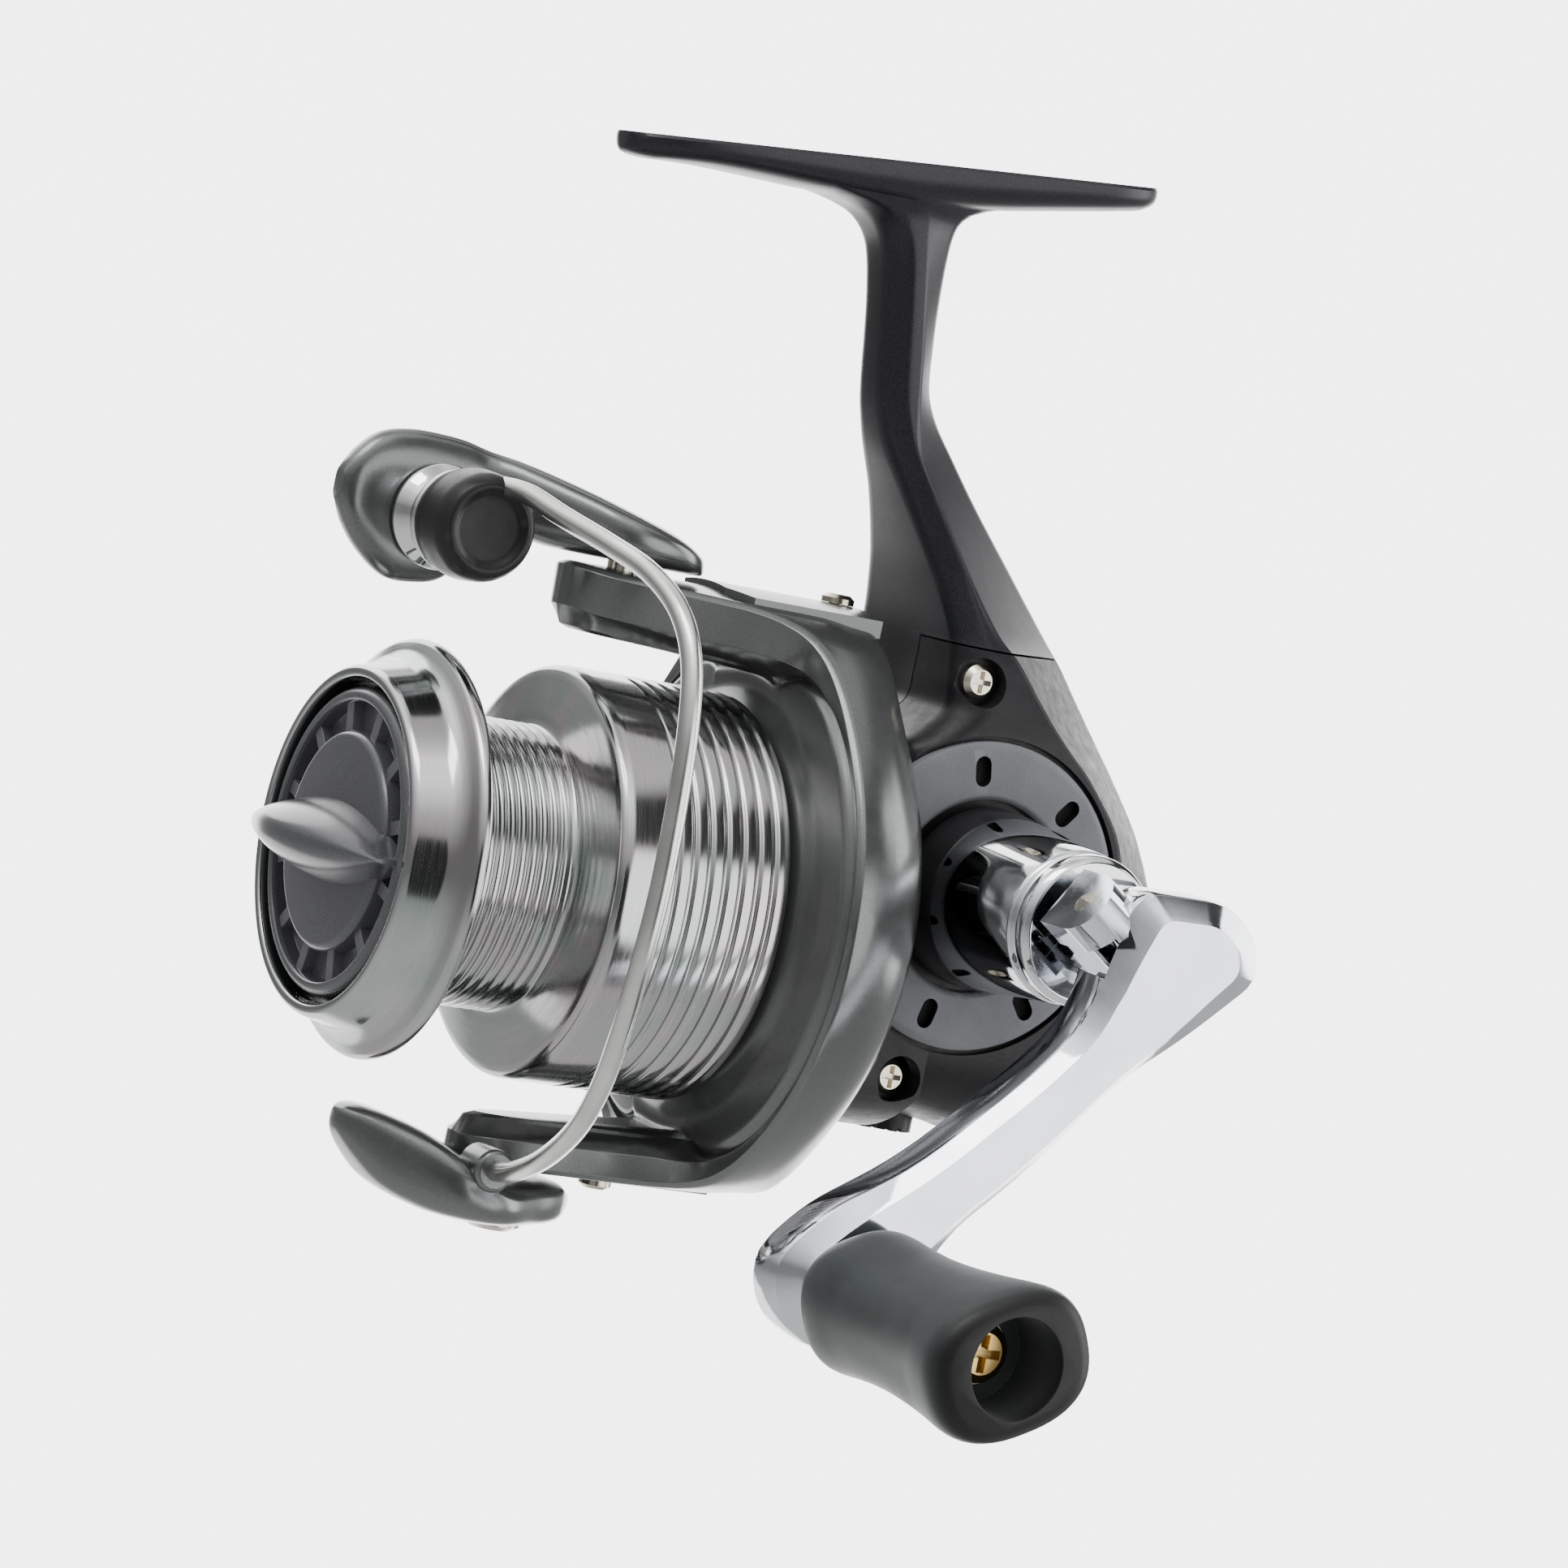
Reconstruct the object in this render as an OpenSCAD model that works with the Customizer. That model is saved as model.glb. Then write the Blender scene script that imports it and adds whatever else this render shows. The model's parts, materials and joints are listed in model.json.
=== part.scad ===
// Spinning reel, 2500 size, fixed spool with folding crank handle.
// The spool turns about X (forward), the crank about Y (handle side), and Z points up to the rod foot.
// Origin: centre of the foot's flat seat.

/* [Foot and stem] */
// Length of the rod foot
foot_len = 64.4; // [62:0.2:66]
// Width of the rod foot at its middle
foot_w = 13.6; // [12:0.2:15]
// Height from the spool axis up to the middle of the foot's seat
foot_height = 80.8; // [80:0.2:82]
// Forward tilt of the foot's seat
foot_tilt = 6; // [5:0.5:7]

/* [Gearbox] */
// Height of the crank axis above the spool axis
gear_offset = 6; // [5.9:0.05:6.2]
// Half width of the gearbox at the side covers
body_half = 14.5; // [14.4:0.1:14.8]
// Parting plane between the housing and the side cover
parting_y = 3; // [2.8:0.1:3.2]
// Teeth on the drive gear
drive_teeth = 40; // [36:1:44]
// Teeth on the pinion
pinion_teeth = 8; // [7:1:9]
// Radius of the main shaft
shaft_r = 2; // [1.9:0.05:2]

/* [Spool] */
// Radius of the spool's front lip
lip_r = 22; // [21.6:0.1:22.2]
// Outer radius of the skirt
skirt_r = 21.9; // [21.5:0.1:22]
// Radius of the line drum
drum_r = 15.2; // [14.8:0.1:15.6]
// Number of ridges round the back of the skirt
skirt_ridges = 7; // [5:1:8]
// Travel of the spool on the main shaft's stroke
stroke = 11; // [10:0.5:11]

/* [Rotor and bail] */
// Distance of the bail pivots ahead of the crank axis
pivot_x = 42; // [41.5:0.1:42.5]
// Outer radius of the rotor arms
arm_r = 32.9; // [32.5:0.1:33]
// Radius of the bail wire
wire_r = 1.1; // [0.9:0.05:1.2]

/* [Crank] */
// Forward reach of the knob axis from the crank axis
knob_x = 25.6; // [25.4:0.1:25.8]
// Height of the knob axis from the spool axis, below it
knob_z = -32.5; // [-32.8:0.1:-32.2]
// Outer end of the knob, from the middle of the reel
knob_end = 80; // [78:0.5:82]

/* [Hidden] */
$fn = 64;

seat_x = 19.6;
tilt_w = [sin(foot_tilt), 0, cos(foot_tilt)];
seam_z = 31.9;
wall_y = body_half - 2.2;
front_r = 21.6;
front_x = 18;
cap_r = 16.9;
cap_clear = 0.25;
rod_z = -8.5;
osc_x = -12.5;
osc_z = -2.6;
crank_pin_r = stroke / 2;
slider_x = osc_x - crank_pin_r;
post_r = 1.5;
cover_screw_at = [[3.7, 28.4], [4.9, -14.6]];
cover_screw_r = 1.3;
arm_screw_x = [15.6, 30.6];
bearing_r = 7;
bearing_w = 2.8;
drive_shaft_r = 3.6;
handle_rod_r = 2.6;
barrel_y = 37.6;
fold_y = 43.6;
tongue_r = 3;
ear_r = 3.6;
ear_low_y = 39.2;
ear_half = 6.4;
slot_half = 2.8;
fold_angle = atan2(knob_z - gear_offset, knob_x);
arm_y0 = 42;
arm_y1 = 48.4;
knob_y = arm_y1 + 0.8;
pinion_r = 4.1;
pinion_tube_r = 3.4;
pivot_r = 1.5;
roller_x = 62.5;
roller_z = 34.6;
wire_route = [[61.4, 8.2, 39], [60, 11.6, 38.8], [58.2, 17, 37.3], [56.6, 25, 35.6], [55.8, 33, 33.8], [54.9, 38.6, 30.8],
    [54.4, 42, 26.4], [54.4, 44, 20], [54.4, 44.8, 12], [54.3, 44.7, 4], [54.2, 43.6, -4],
    [53.2, 40.4, -11.4], [51.8, 36, -17.2], [50.3, 30, -22.3], [49, 22, -26.8], [48.2, 14.4, -29.6],
    [47.9, 10.6, -30.4]];

// --- helpers ---

// Reel coordinates: origin where the spool axis passes under the crank axis
module reel() translate([-seat_x, 0, -foot_height]) children();

// Solid of revolution about X from [x, radius] points
module turn_x(points) rotate([0, 90, 0]) rotate_extrude($fn = 96) polygon([for (p = points) [p[1], p[0]]]);

// Solid of revolution about Y, through [cx, cz], from [y, radius] points
module turn_y(cx, cz, points) translate([cx, 0, cz]) rotate([-90, 0, 0]) rotate_extrude($fn = 96)
    polygon([for (p = points) [p[1], p[0]]]);

module rod_x(r, x0, x1, y = 0, z = 0) translate([x0, y, z]) rotate([0, 90, 0]) cylinder(r = r, h = x1 - x0);
module rod_y(r, y0, y1, x = 0, z = 0) translate([x, y0, z]) rotate([-90, 0, 0]) cylinder(r = r, h = y1 - y0);
module rod_z(r, z0, z1, x = 0, y = 0) translate([x, y, z0]) cylinder(r = r, h = z1 - z0);

// Slab with an (x, z) outline between two y planes
module slab_y(points, y0, y1) translate([0, y1, 0]) rotate([90, 0, 0]) linear_extrude(y1 - y0) polygon(points);

// Slab with a (y, z) outline between two x planes
module slab_x(points, x0, x1) translate([x0, 0, 0]) rotate([90, 0, 90]) linear_extrude(x1 - x0) polygon(points);

// Slab with an (x, y) outline between two z planes
module slab_z(points, z0, z1) translate([0, 0, z0]) linear_extrude(z1 - z0) polygon(points);

// One pass of corner cutting on a closed outline
function cut_corners(p) = [for (i = [0 : len(p) - 1], t = [0.2, 0.8])
    p[i] * (1 - t) + p[(i + 1) % len(p)] * t];

// Outline with mirrored second half, for shapes that are the same on both sides of y = 0
function both_sides(p) = concat(p, [for (i = [len(p) - 1 : -1 : 0]) [-p[i][0], p[i][1]]]);

function unit(v) = v / norm(v);
function tangent(p, i) = unit(p[min(i + 1, len(p) - 1)] - p[max(i - 1, 0)]);

// Curve through a list of points, n steps to each span
function curve_point(a, b, c, d, t) = 0.5 * (2 * b + (c - a) * t + (2 * a - 5 * b + 4 * c - d) * t * t
    + (3 * b - a - 3 * c + d) * t * t * t);
function curve(p, n) = [for (i = [0 : len(p) - 2], k = [0 : n - 1])
    curve_point(p[max(i - 1, 0)], p[i], p[i + 1], p[min(i + 2, len(p) - 1)], k / n), p[len(p) - 1]];

// Round tube swept along points; side is a direction that is never along the route
module sweep(path, r, sides, side) {
    rings = [for (i = [0 : len(path) - 1]) let (t = tangent(path, i), u = unit(cross(t, side)), v = cross(t, u))
        for (k = [0 : sides - 1]) path[i] + r * (cos(360 * k / sides) * u + sin(360 * k / sides) * v)];
    last = (len(path) - 1) * sides;
    walls = [for (i = [0 : len(path) - 2], k = [0 : sides - 1]) let (a = i * sides, n = (k + 1) % sides)
        each [[a + k, a + sides + k, a + sides + n], [a + k, a + sides + n, a + n]]];
    ends = [[for (k = [0 : sides - 1]) k], [for (k = [sides - 1 : -1 : 0]) last + k]];
    polyhedron(rings, concat(walls, ends));
}

// Points of a coil about X
function coil(x0, x1, r, turns, steps) = [for (i = [0 : turns * steps])
    [x0 + (x1 - x0) * i / (turns * steps), r * cos(360 * i / steps), r * sin(360 * i / steps)]];

// Flat outline of a straight-toothed gear
module gear_outline(teeth, root_r, tip_r, fill = 0.5) {
    pitch = 360 / teeth;
    polygon([for (i = [0 : teeth - 1], k = [[-0.5, root_r], [-0.5 * fill, root_r], [-0.25 * fill, tip_r],
        [0.25 * fill, tip_r], [0.5 * fill, root_r]])
        k[1] * [cos(pitch * (i + k[0])), sin(pitch * (i + k[0]))]]);
}

// Ball bearing about local Z: two rings with a shield set back between them
module bearing(bore_r, outer_r, width) {
    shield = 0.3;
    step = (outer_r - bore_r) * 0.28;
    rotate_extrude() polygon([[bore_r, 0], [bore_r + step, 0], [bore_r + step, shield],
        [outer_r - step, shield], [outer_r - step, 0], [outer_r, 0], [outer_r, width],
        [outer_r - step, width], [outer_r - step, width - shield], [bore_r + step, width - shield],
        [bore_r + step, width], [bore_r, width]]);
}

// Screw with a domed cross-slot head; the head's underside is at local z = 0, the shank below it
module cross_screw(shank_r, shank_len, head_r, head_h) {
    slot_w = head_r * 0.3;
    slot_l = head_r * 1.25;
    difference() {
        union() {
            translate([0, 0, -shank_len]) cylinder(r = shank_r, h = shank_len + 0.01, $fn = 24);
            cylinder(r = head_r, h = head_h * 0.6, $fn = 32);
            translate([0, 0, head_h * 0.6]) cylinder(r1 = head_r, r2 = head_r * 0.7, h = head_h * 0.4, $fn = 32);
        }
        for (a = [0, 90]) rotate(a) translate([-slot_l / 2, -slot_w / 2, head_h * 0.35]) cube([slot_l, slot_w, head_h]);
    }
}

// --- body ---

body_side = cut_corners([[18.7, 68], [17.6, 59], [15.4, 51], [9.9, 41.5], [6.4, 31], [6.4, 24], [12, 20],
    [12, -16], [3.3, -16.8], [-8, -18.4], [-14, -18.8], [-21, -15.2], [-27.6, -9.4], [-31, -1], [-27.6, 11],
    [-16.8, 25.4], [-3.7, 40.2], [5.2, 50.2], [10, 57], [11.2, 68], [10.8, 76], [20, 76]]);

floor_z = -11.6;
cavity_side = [[9, floor_z], [9, 21], [0, 25], [-8, 26], [-16, 19.6], [-24.6, 8], [-27, 0], [-26, -6],
    [-21.4, -10.6], [-19, -13.4], [-5, -13.4], [-1, floor_z]];

stem_front = both_sides([[4.2, 90], [4.2, 58], [5.4, 50], [9, 42], [12.6, 34], [14, 28],
    [body_half, 22], [body_half, -11], [12.6, -17], [8, -22]]);

// Rod foot, made flat and then tilted with its seat at the origin
foot_under = [[-foot_len / 2, 0], [foot_len / 2, 0], [foot_len / 2, -1.2], [foot_len / 2 - 0.8, -2.1],
    [13, -3.3], [7, -4.6], [3.9, -6], [1.2, -9], [-6.8, -9], [-8.4, -5.8], [-10.8, -4.5], [-18.8, -3.3],
    [-foot_len / 2 + 0.8, -2.3], [-foot_len / 2, -1.4]];
foot_plan = [for (s = [0 : 2 : 358]) let (c = cos(s), w = foot_w / 2 * (1 - 0.22 * c * c))
    [foot_len / 2 * sign(c) * pow(abs(c), 0.45), w * sign(sin(s)) * pow(abs(sin(s)), 0.55)]];

module foot() rotate([0, foot_tilt, 0]) intersection() {
    slab_y(foot_under, -foot_w, foot_w);
    slab_z(foot_plan, -10, 1);
}

module body_solid() {
    intersection() {
        slab_y(body_side, -20, 20);
        slab_x(stem_front, -40, 40);
    }
    intersection() {
        rod_x(front_r, 2, front_x);
        translate([0, -body_half, -30]) cube([30, 2 * body_half, 60]);
    }
    intersection() {
        rod_y(cap_r + 0.9, -body_half, body_half, 0, gear_offset);
        rod_x(22.6, -30, front_x);
    }
}

// Space inside the gearbox
module gear_room() {
    slab_y(cavity_side, -wall_y, wall_y);
    intersection() {
        rod_x(front_r - 2.4, 0, front_x - 2.5);
        translate([0, -wall_y, floor_z]) cube([30, 2 * wall_y, 36]);
    }
}

module cover_region() difference() {
    translate([-60, parting_y, -60]) cube([120, 60, 60 + seam_z]);
    rod_x(bearing_r + 2.2, front_x - 2.6, 60);
}

// Holes for the parts that sit in the gearbox walls
module body_bores() {
    rod_x(bearing_r + 0.03, front_x - bearing_w, front_x + 1);
    rod_x(4.6, front_x - 4, front_x);
    rod_x(1.21, -28.4, front_x - 1.2, 0, rod_z);
    rod_y(4.2, -body_half - 1, body_half + 1, 0, gear_offset);
    rod_z(2.05, -22, -12.6, -3, 0);
    rod_z(3.2, -13.4, -11, -3, 0);
}

module body_housing() color([0.17, 0.17, 0.19]) reel() {
    difference() {
        union() {
            translate([seat_x, 0, foot_height]) foot();
            difference() {
                body_solid();
                gear_room();
                cover_region();
            }
            difference() {
                rod_y(bearing_r + 2, -wall_y - 0.5, -10.4, 0, gear_offset);
                rod_x(front_r - 2, -30, -9);
            }
        }
        body_bores();
        rod_y(bearing_r + 0.03, -13.4, -10, 0, gear_offset);
        for (p = cover_screw_at) rod_y(cover_screw_r + 0.05, -8, 6, p[0], p[1]);
    }
}

module side_cover() color([0.12, 0.12, 0.13]) reel() difference() {
    union() {
        difference() {
            intersection() {
                body_solid();
                translate([0, 0.1, -0.1]) cover_region();
            }
            gear_room();
        }
        rod_y(bearing_r + 2, 10.4, wall_y + 0.5, 0, gear_offset);
        rod_y(post_r, 5.7, wall_y + 0.5, osc_x, osc_z);
    }
    body_bores();
    rod_y(bearing_r + 0.03, 10, 13, 0, gear_offset);
    rod_y(cap_r + cap_clear, body_half - 0.9, body_half + 2, 0, gear_offset);
    for (p = cover_screw_at) {
        rod_y(cover_screw_r + 0.05, 0, 20, p[0], p[1]);
        rod_y(2.5, 11.4, 20, p[0], p[1]);
    }
}

cap_slots = 7;

module drive_cap() color([0.36, 0.36, 0.38]) reel() difference() {
    turn_y(0, gear_offset, [[body_half - 0.85, 10.4], [body_half - 0.85, cap_r], [body_half + 0.2, cap_r],
        [body_half + 0.5, cap_r - 0.5], [body_half + 0.5, 10.4]]);
    for (k = [0 : cap_slots - 1]) translate([0, body_half + 0.05, gear_offset])
        rotate([0, -79 - 360 / cap_slots * k, 0]) translate([11.9, 0, -0.75]) cube([3.2, 2, 1.5]);
}

module cover_screws() color([0.72, 0.68, 0.6]) reel() for (p = cover_screw_at)
    translate([p[0], 11.45, p[1]]) rotate([-90, 0, 0]) cross_screw(cover_screw_r, 16, 1.9, 1.3);

module left_cap() color([0.1, 0.1, 0.11]) reel() difference() {
    turn_y(0, gear_offset, [[-13.45, 0], [-13.45, 4.1], [-body_half - 0.05, 4.1], [-body_half - 0.05, 9.6],
        [-16.6, 9.6], [-17.4, 8.8], [-17.4, 0]]);
    for (k = [0 : 11]) translate([0, -18, gear_offset]) rotate([0, 30 * k, 0]) translate([9.9, 0, 0])
        rotate([-90, 0, 0]) cylinder(r = 0.9, h = 4, $fn = 16);
}

module front_bearing() color([0.75, 0.76, 0.78]) reel() translate([front_x - bearing_w, 0, 0])
    rotate([0, 90, 0]) bearing(pinion_tube_r + 0.03, bearing_r, bearing_w);

module roller_clutch() color([0.6, 0.62, 0.65]) reel() difference() {
    rod_x(10.8, front_x + 0.9, front_x + 5.6);
    rod_x(5.35, front_x, front_x + 6);
    for (a = [0 : 60 : 300]) rotate([a, 0, 0]) rod_x(0.9, front_x + 4.8, front_x + 6, 0, 8.2);
}

module bearing_retainer() color([0.66, 0.6, 0.45]) reel() difference() {
    union() {
        rod_x(9.4, front_x + 0.02, front_x + 0.88);
        for (a = [90, 210, 330]) rotate([a, 0, 0]) rod_x(2.4, front_x + 0.02, front_x + 0.88, 0, 9.6);
    }
    rod_x(4.6, front_x - 1, front_x + 2);
}

module drive_bearing_right() color([0.75, 0.76, 0.78]) reel() translate([0, 10.15, gear_offset])
    rotate([-90, 0, 0]) bearing(drive_shaft_r + 0.03, bearing_r, bearing_w);

module drive_bearing_left() color([0.75, 0.76, 0.78]) reel() translate([0, -13.35, gear_offset])
    rotate([-90, 0, 0]) bearing(drive_shaft_r + 0.03, bearing_r, bearing_w);

module slider_rod() color([0.7, 0.7, 0.72]) reel() rod_x(1.18, -28.2, front_x - 1.4, 0, rod_z);

module anti_reverse_lever() color([0.11, 0.11, 0.12]) reel() {
    rod_z(2, -18.6, -13.4, -3, 0);
    difference() {
        union() {
            rod_z(3.1, -21.6, -18.6, -3, 0);
            slab_z([[-3, -2.6], [0.8, -2.1], [1.6, 0], [0.8, 2.1], [-3, 2.6]], -21.6, -18.6);
        }
        for (x = [-3.6, -2.2, -0.8]) translate([x, -4, -22]) cube([0.5, 8, 0.8]);
    }
}

module lever_screw() color([0.6, 0.6, 0.62]) reel() {
    rod_z(3, -13.3, -12.6, -3, 0);
}

// --- drive train ---

module drive_gear() color([0.7, 0.66, 0.5]) reel() {
    difference() {
        union() {
            rod_y(drive_shaft_r, -12.8, 13.2, 0, gear_offset);
            rod_y(14.2, -8.6, -5.6, 0, gear_offset);
            translate([0, -4.5, gear_offset]) rotate([90, 0, 0]) linear_extrude(1.2) difference() {
                gear_outline(drive_teeth, 10, 14, 0.55);
                circle(r = 10.2);
            }
            translate([0, 9, gear_offset]) rotate([90, 0, 0]) linear_extrude(3) gear_outline(10, 4, 4.9);
        }
        rod_y(handle_rod_r + 0.05, -12, 14, 0, gear_offset);
        for (a = [30 : 60 : 330]) translate([0, 0, gear_offset]) rotate([0, a, 0]) rod_y(1.6, -9, -5, 7, 0);
    }
}

// Chrome barrel with the threaded rod that screws into the drive gear
module handle_barrel() color([0.82, 0.83, 0.85]) reel() {
    turn_y(0, gear_offset, [[-11.5, 0], [-11.5, handle_rod_r], [14.6, handle_rod_r], [14.6, 9.2],
        [15.2, 9.7], [18, 9.6], [22, 9.2], [30, 8.5], [34.6, 8.1], [35, 7.5], [35.4, 7.5], [35.8, 8],
        [barrel_y - 0.6, 7.9], [barrel_y, 7.4], [barrel_y, 0]]);
    translate([0, 0, gear_offset]) rotate([0, -fold_angle, 0]) difference() {
        union() {
            translate([-tongue_r, barrel_y - 1, 0.1 - slot_half])
                cube([2 * tongue_r, fold_y - barrel_y + 1, 2 * slot_half - 0.2]);
            translate([0, fold_y, 0.1 - slot_half]) cylinder(r = tongue_r, h = 2 * slot_half - 0.2);
        }
        translate([0, fold_y, -4]) cylinder(r = 1.29, h = 8);
    }
}

module fold_pin() color([0.66, 0.6, 0.48]) reel() translate([0, fold_y, gear_offset])
    rotate([0, -fold_angle, 0]) translate([0, 0, -ear_half]) cylinder(r = 1.25, h = 2 * ear_half);

module oscillation_gear() color([0.86, 0.84, 0.78]) reel() difference() {
    union() {
        translate([osc_x, 9, osc_z]) rotate([90, 0, 0]) linear_extrude(2.6) gear_outline(20, 9.1, 10.05);
        rod_y(1.2, 5.6, 7, slider_x, osc_z);
        rod_y(2.8, 6.2, 9.8, osc_x, osc_z);
    }
    rod_y(post_r + 0.05, 5, 11, osc_x, osc_z);
    rod_y(1.4, 5, 11, osc_x + 5.6, osc_z);
}

// --- rotor ---

module pinion() color([0.75, 0.62, 0.32]) reel() difference() {
    union() {
        translate([5, 0, 0]) rotate([90, 0, 90]) linear_extrude(9.6) gear_outline(pinion_teeth, 3.2, pinion_r - 0.1);
        rod_x(pinion_tube_r, 4, 41);
    }
    rod_x(shaft_r + 0.08, 0, 50);
}

module clutch_sleeve() color([0.7, 0.7, 0.73]) reel() difference() {
    rod_x(5.3, front_x + 0.95, front_x + 5.9);
    rod_x(pinion_tube_r + 0.02, front_x, front_x + 7);
}

// Bell section: hub and front wall inside the skirt, dished back, outer band over the gearbox
bell_section = [[24, pinion_tube_r + 0.02], [24, 9.5], [35.2, 11], [35.2, 17.7], [25.4, 17.9], [21.4, 23.4],
    [18, 24.6], [13, 24.4], [13, 25.4], [14, 26.8], [17, 28.3], [20.6, 29.3], [23, 29.4], [23.3, 29],
    [23.2, 28.3], [23.6, 25.8], [24.6, 23.4], [25.6, 21.4], [26.4, 20], [28, 19.6], [37.2, 19.4], [38, 18.8],
    [38, pinion_tube_r + 0.02]];
arm_top_plan = both_sides([[16.4, 13], [13.2, 20], [9.4, 27], [7.4, 34], [6.4, 40]]);
arm_low_plan = both_sides([[15.4, 13], [12.6, 20], [8.6, 27], [6.4, 34], [5.4, 40]]);

module arm_plan(points, end_r) {
    polygon([for (p = points) [p[1], p[0]]]);
    translate([pivot_x, 0]) circle(r = end_r);
}

module rotor() color([0.33, 0.34, 0.34]) reel() difference() {
    union() {
        turn_x(bell_section);
        difference() {
            intersection() {
                rod_x(arm_r, 13.6, 60);
                union() {
                    linear_extrude(40) arm_plan(arm_top_plan, 6.6);
                    translate([0, 0, -31.2]) linear_extrude(30) arm_plan(arm_low_plan, 5.4);
                }
            }
            rod_x(24.5, 10, 60);
            translate([13, -7.2, 28.2]) cube([18.9, 14.4, 10]);
            translate([19.9, -5.6, -40]) cube([13.2, 11.2, 12]);
        }
        rod_z(1.7, 26, 31.5, arm_screw_x[0]);
    }
    rod_z(pivot_r + 0.04, -40, 40, pivot_x);
    rod_z(0.95, 28, 40, arm_screw_x[0]);
    rod_z(0.95, -40, -25.8, arm_screw_x[1]);
    rod_x(shaft_r + 3, 36.6, 40);
}

module rotor_nut() color([0.62, 0.63, 0.66]) reel() difference() {
    translate([38.02, 0, 0]) rotate([0, 90, 0]) cylinder(r = 6.6, h = 2.6, $fn = 6);
    rod_x(pinion_tube_r + 0.02, 30, 50);
}

module arm_cover_top() color([0.3, 0.31, 0.31]) reel() {
    intersection() {
        difference() {
            rod_x(33.4, 13.7, 31.8);
            rod_x(31.6, 10, 40);
            rod_z(0.95, 28, 40, arm_screw_x[0]);
        }
        slab_z([[13.7, -7.1], [29.4, -7.1], [31.8, -4.6], [31.8, 4.6], [29.4, 7.1], [13.7, 7.1]], 28.3, 40);
    }
}

module arm_cover_bottom() color([0.3, 0.31, 0.31]) reel() difference() {
    intersection() {
        rod_x(31.2, 20, 33);
        translate([20, -5.5, -40]) cube([13, 11, 11.95]);
    }
    rod_x(29.5, 10, 23.4);
    rod_z(0.95, -40, -20, arm_screw_x[1]);
}

module arm_cover_screws() color([0.62, 0.6, 0.56]) reel() {
    translate([arm_screw_x[0], 0, 33.45]) cross_screw(0.9, 5, 1.8, 1);
    translate([arm_screw_x[1], 0, -31.25]) rotate([180, 0, 0]) cross_screw(0.9, 5, 1.8, 1);
}

module bail_spring() color([0.66, 0.67, 0.7]) reel() translate([0, 0, 30.5])
    sweep(coil(18, 30.6, 0.75, 7, 10), 0.22, 6, [1, 0, 0]);

module bail_pivot_screws() color([0.6, 0.6, 0.62]) reel() {
    translate([pivot_x, 0, 36.6]) cross_screw(pivot_r, 9.6, 3.2, 1.4);
    translate([pivot_x, 0, -36.4]) rotate([180, 0, 0]) cross_screw(pivot_r, 9.6, 3.2, 1.4);
}

// --- bail ---

bail_arm_side = cut_corners([[33, 33.5], [33.4, 34.8], [42, 37.4], [52, 40.9], [62, 43.2], [70.4, 42.6],
    [73.9, 36], [71.6, 30], [66, 26.6], [60.4, 27.2], [57.8, 31], [56.4, 34], [48, 33.5]]);
bail_arm_plan = [[33, -3], [32.6, 0], [33, 3], [37.6, 5.4], [42, 6.6], [47, 5.6], [55, -2.6], [57, -2.9],
    [74, -2.9], [74, -6], [70, -7.2], [60, -7.6], [50, -7.6], [42, -6.6], [37, -5.2]];

module bail_arm() color([0.34, 0.35, 0.35]) reel() difference() {
    intersection() {
        slab_y(bail_arm_side, -12, 12);
        slab_z(bail_arm_plan, 20, 50);
    }
    rod_z(pivot_r + 0.05, 30, 50, pivot_x);
    rod_z(3.4, 36.5, 50, pivot_x);
    rod_y(1.25, -12, 0, roller_x, roller_z);
}

module bail_wire() color([0.75, 0.76, 0.74]) reel() sweep(curve(wire_route, 3), wire_r, 10, [1, 0, 0]);

holder_side = cut_corners([[35, -31.8], [48.4, -31.8], [50.6, -28.4], [60.6, -26.4], [62.6, -28.6], [57, -33.8],
    [47, -36.7], [38, -36.3], [34, -34]]);
holder_plan = cut_corners([[34, -3], [40, -6.4], [50, -6], [62.8, -1.4], [62.8, 4], [55, 8.6], [50, 10.4], [45, 10.4],
    [38, 6], [34, 3]]);

module bail_holder() color([0.34, 0.35, 0.35]) reel() difference() {
    union() {
        intersection() {
            slab_y(holder_side, -12, 12);
            slab_z(holder_plan, -40, -20);
        }
        rod_y(2.3, 6.7, 10.5, 47.9, -30.4);
    }
    rod_z(pivot_r + 0.05, -40, -30, pivot_x);
    rod_z(3.4, -40, -36.3, pivot_x);
    difference() {
        union() {
            rod_z(7.4, -31.7, -26, pivot_x);
            translate([40, -12, -31.7]) cube([13, 10.5, 8]);
        }
        rod_y(2.3, 6.7, 10.5, 47.9, -30.4);
    }
}

// Black cone that guides the line on to the roller, and carries the wire
module roller_screw() color([0.08, 0.08, 0.09]) reel() {
    turn_y(roller_x, roller_z, [[-7.4, 0], [-7.4, 1.2], [2.7, 1.2], [2.7, 5.5], [4.6, 5.9], [8.4, 5.6],
        [9.6, 4.9], [9.8, 4.2], [9.2, 3.4], [8.9, 0]]);
}

module roller_bush() color([0.85, 0.83, 0.76]) reel() turn_y(roller_x, roller_z,
    [[-2.8, 1.24], [-2.8, 2.2], [2.6, 2.2], [2.6, 1.24]]);

module line_roller() color([0.85, 0.86, 0.87]) reel() turn_y(roller_x, roller_z, [[-2.75, 2.24], [-2.75, 5.4],
    [-2.1, 5.6], [-0.9, 4.5], [-0.1, 4.2], [0.7, 4.5], [1.9, 5.5], [2.55, 5.2], [2.55, 2.24]]);

// --- main shaft ---

module main_shaft() color([0.74, 0.75, 0.77]) reel() difference() {
    union() {
        rod_x(shaft_r, slider_x - 2.2, 66);
        rod_x(shaft_r + 0.6, 41.3, 43);
    }
    for (s = [-1, 1]) translate([52, s * (shaft_r + 0.45) - 0.75, -3]) cube([8.6, 1.5, 6]);
}

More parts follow.
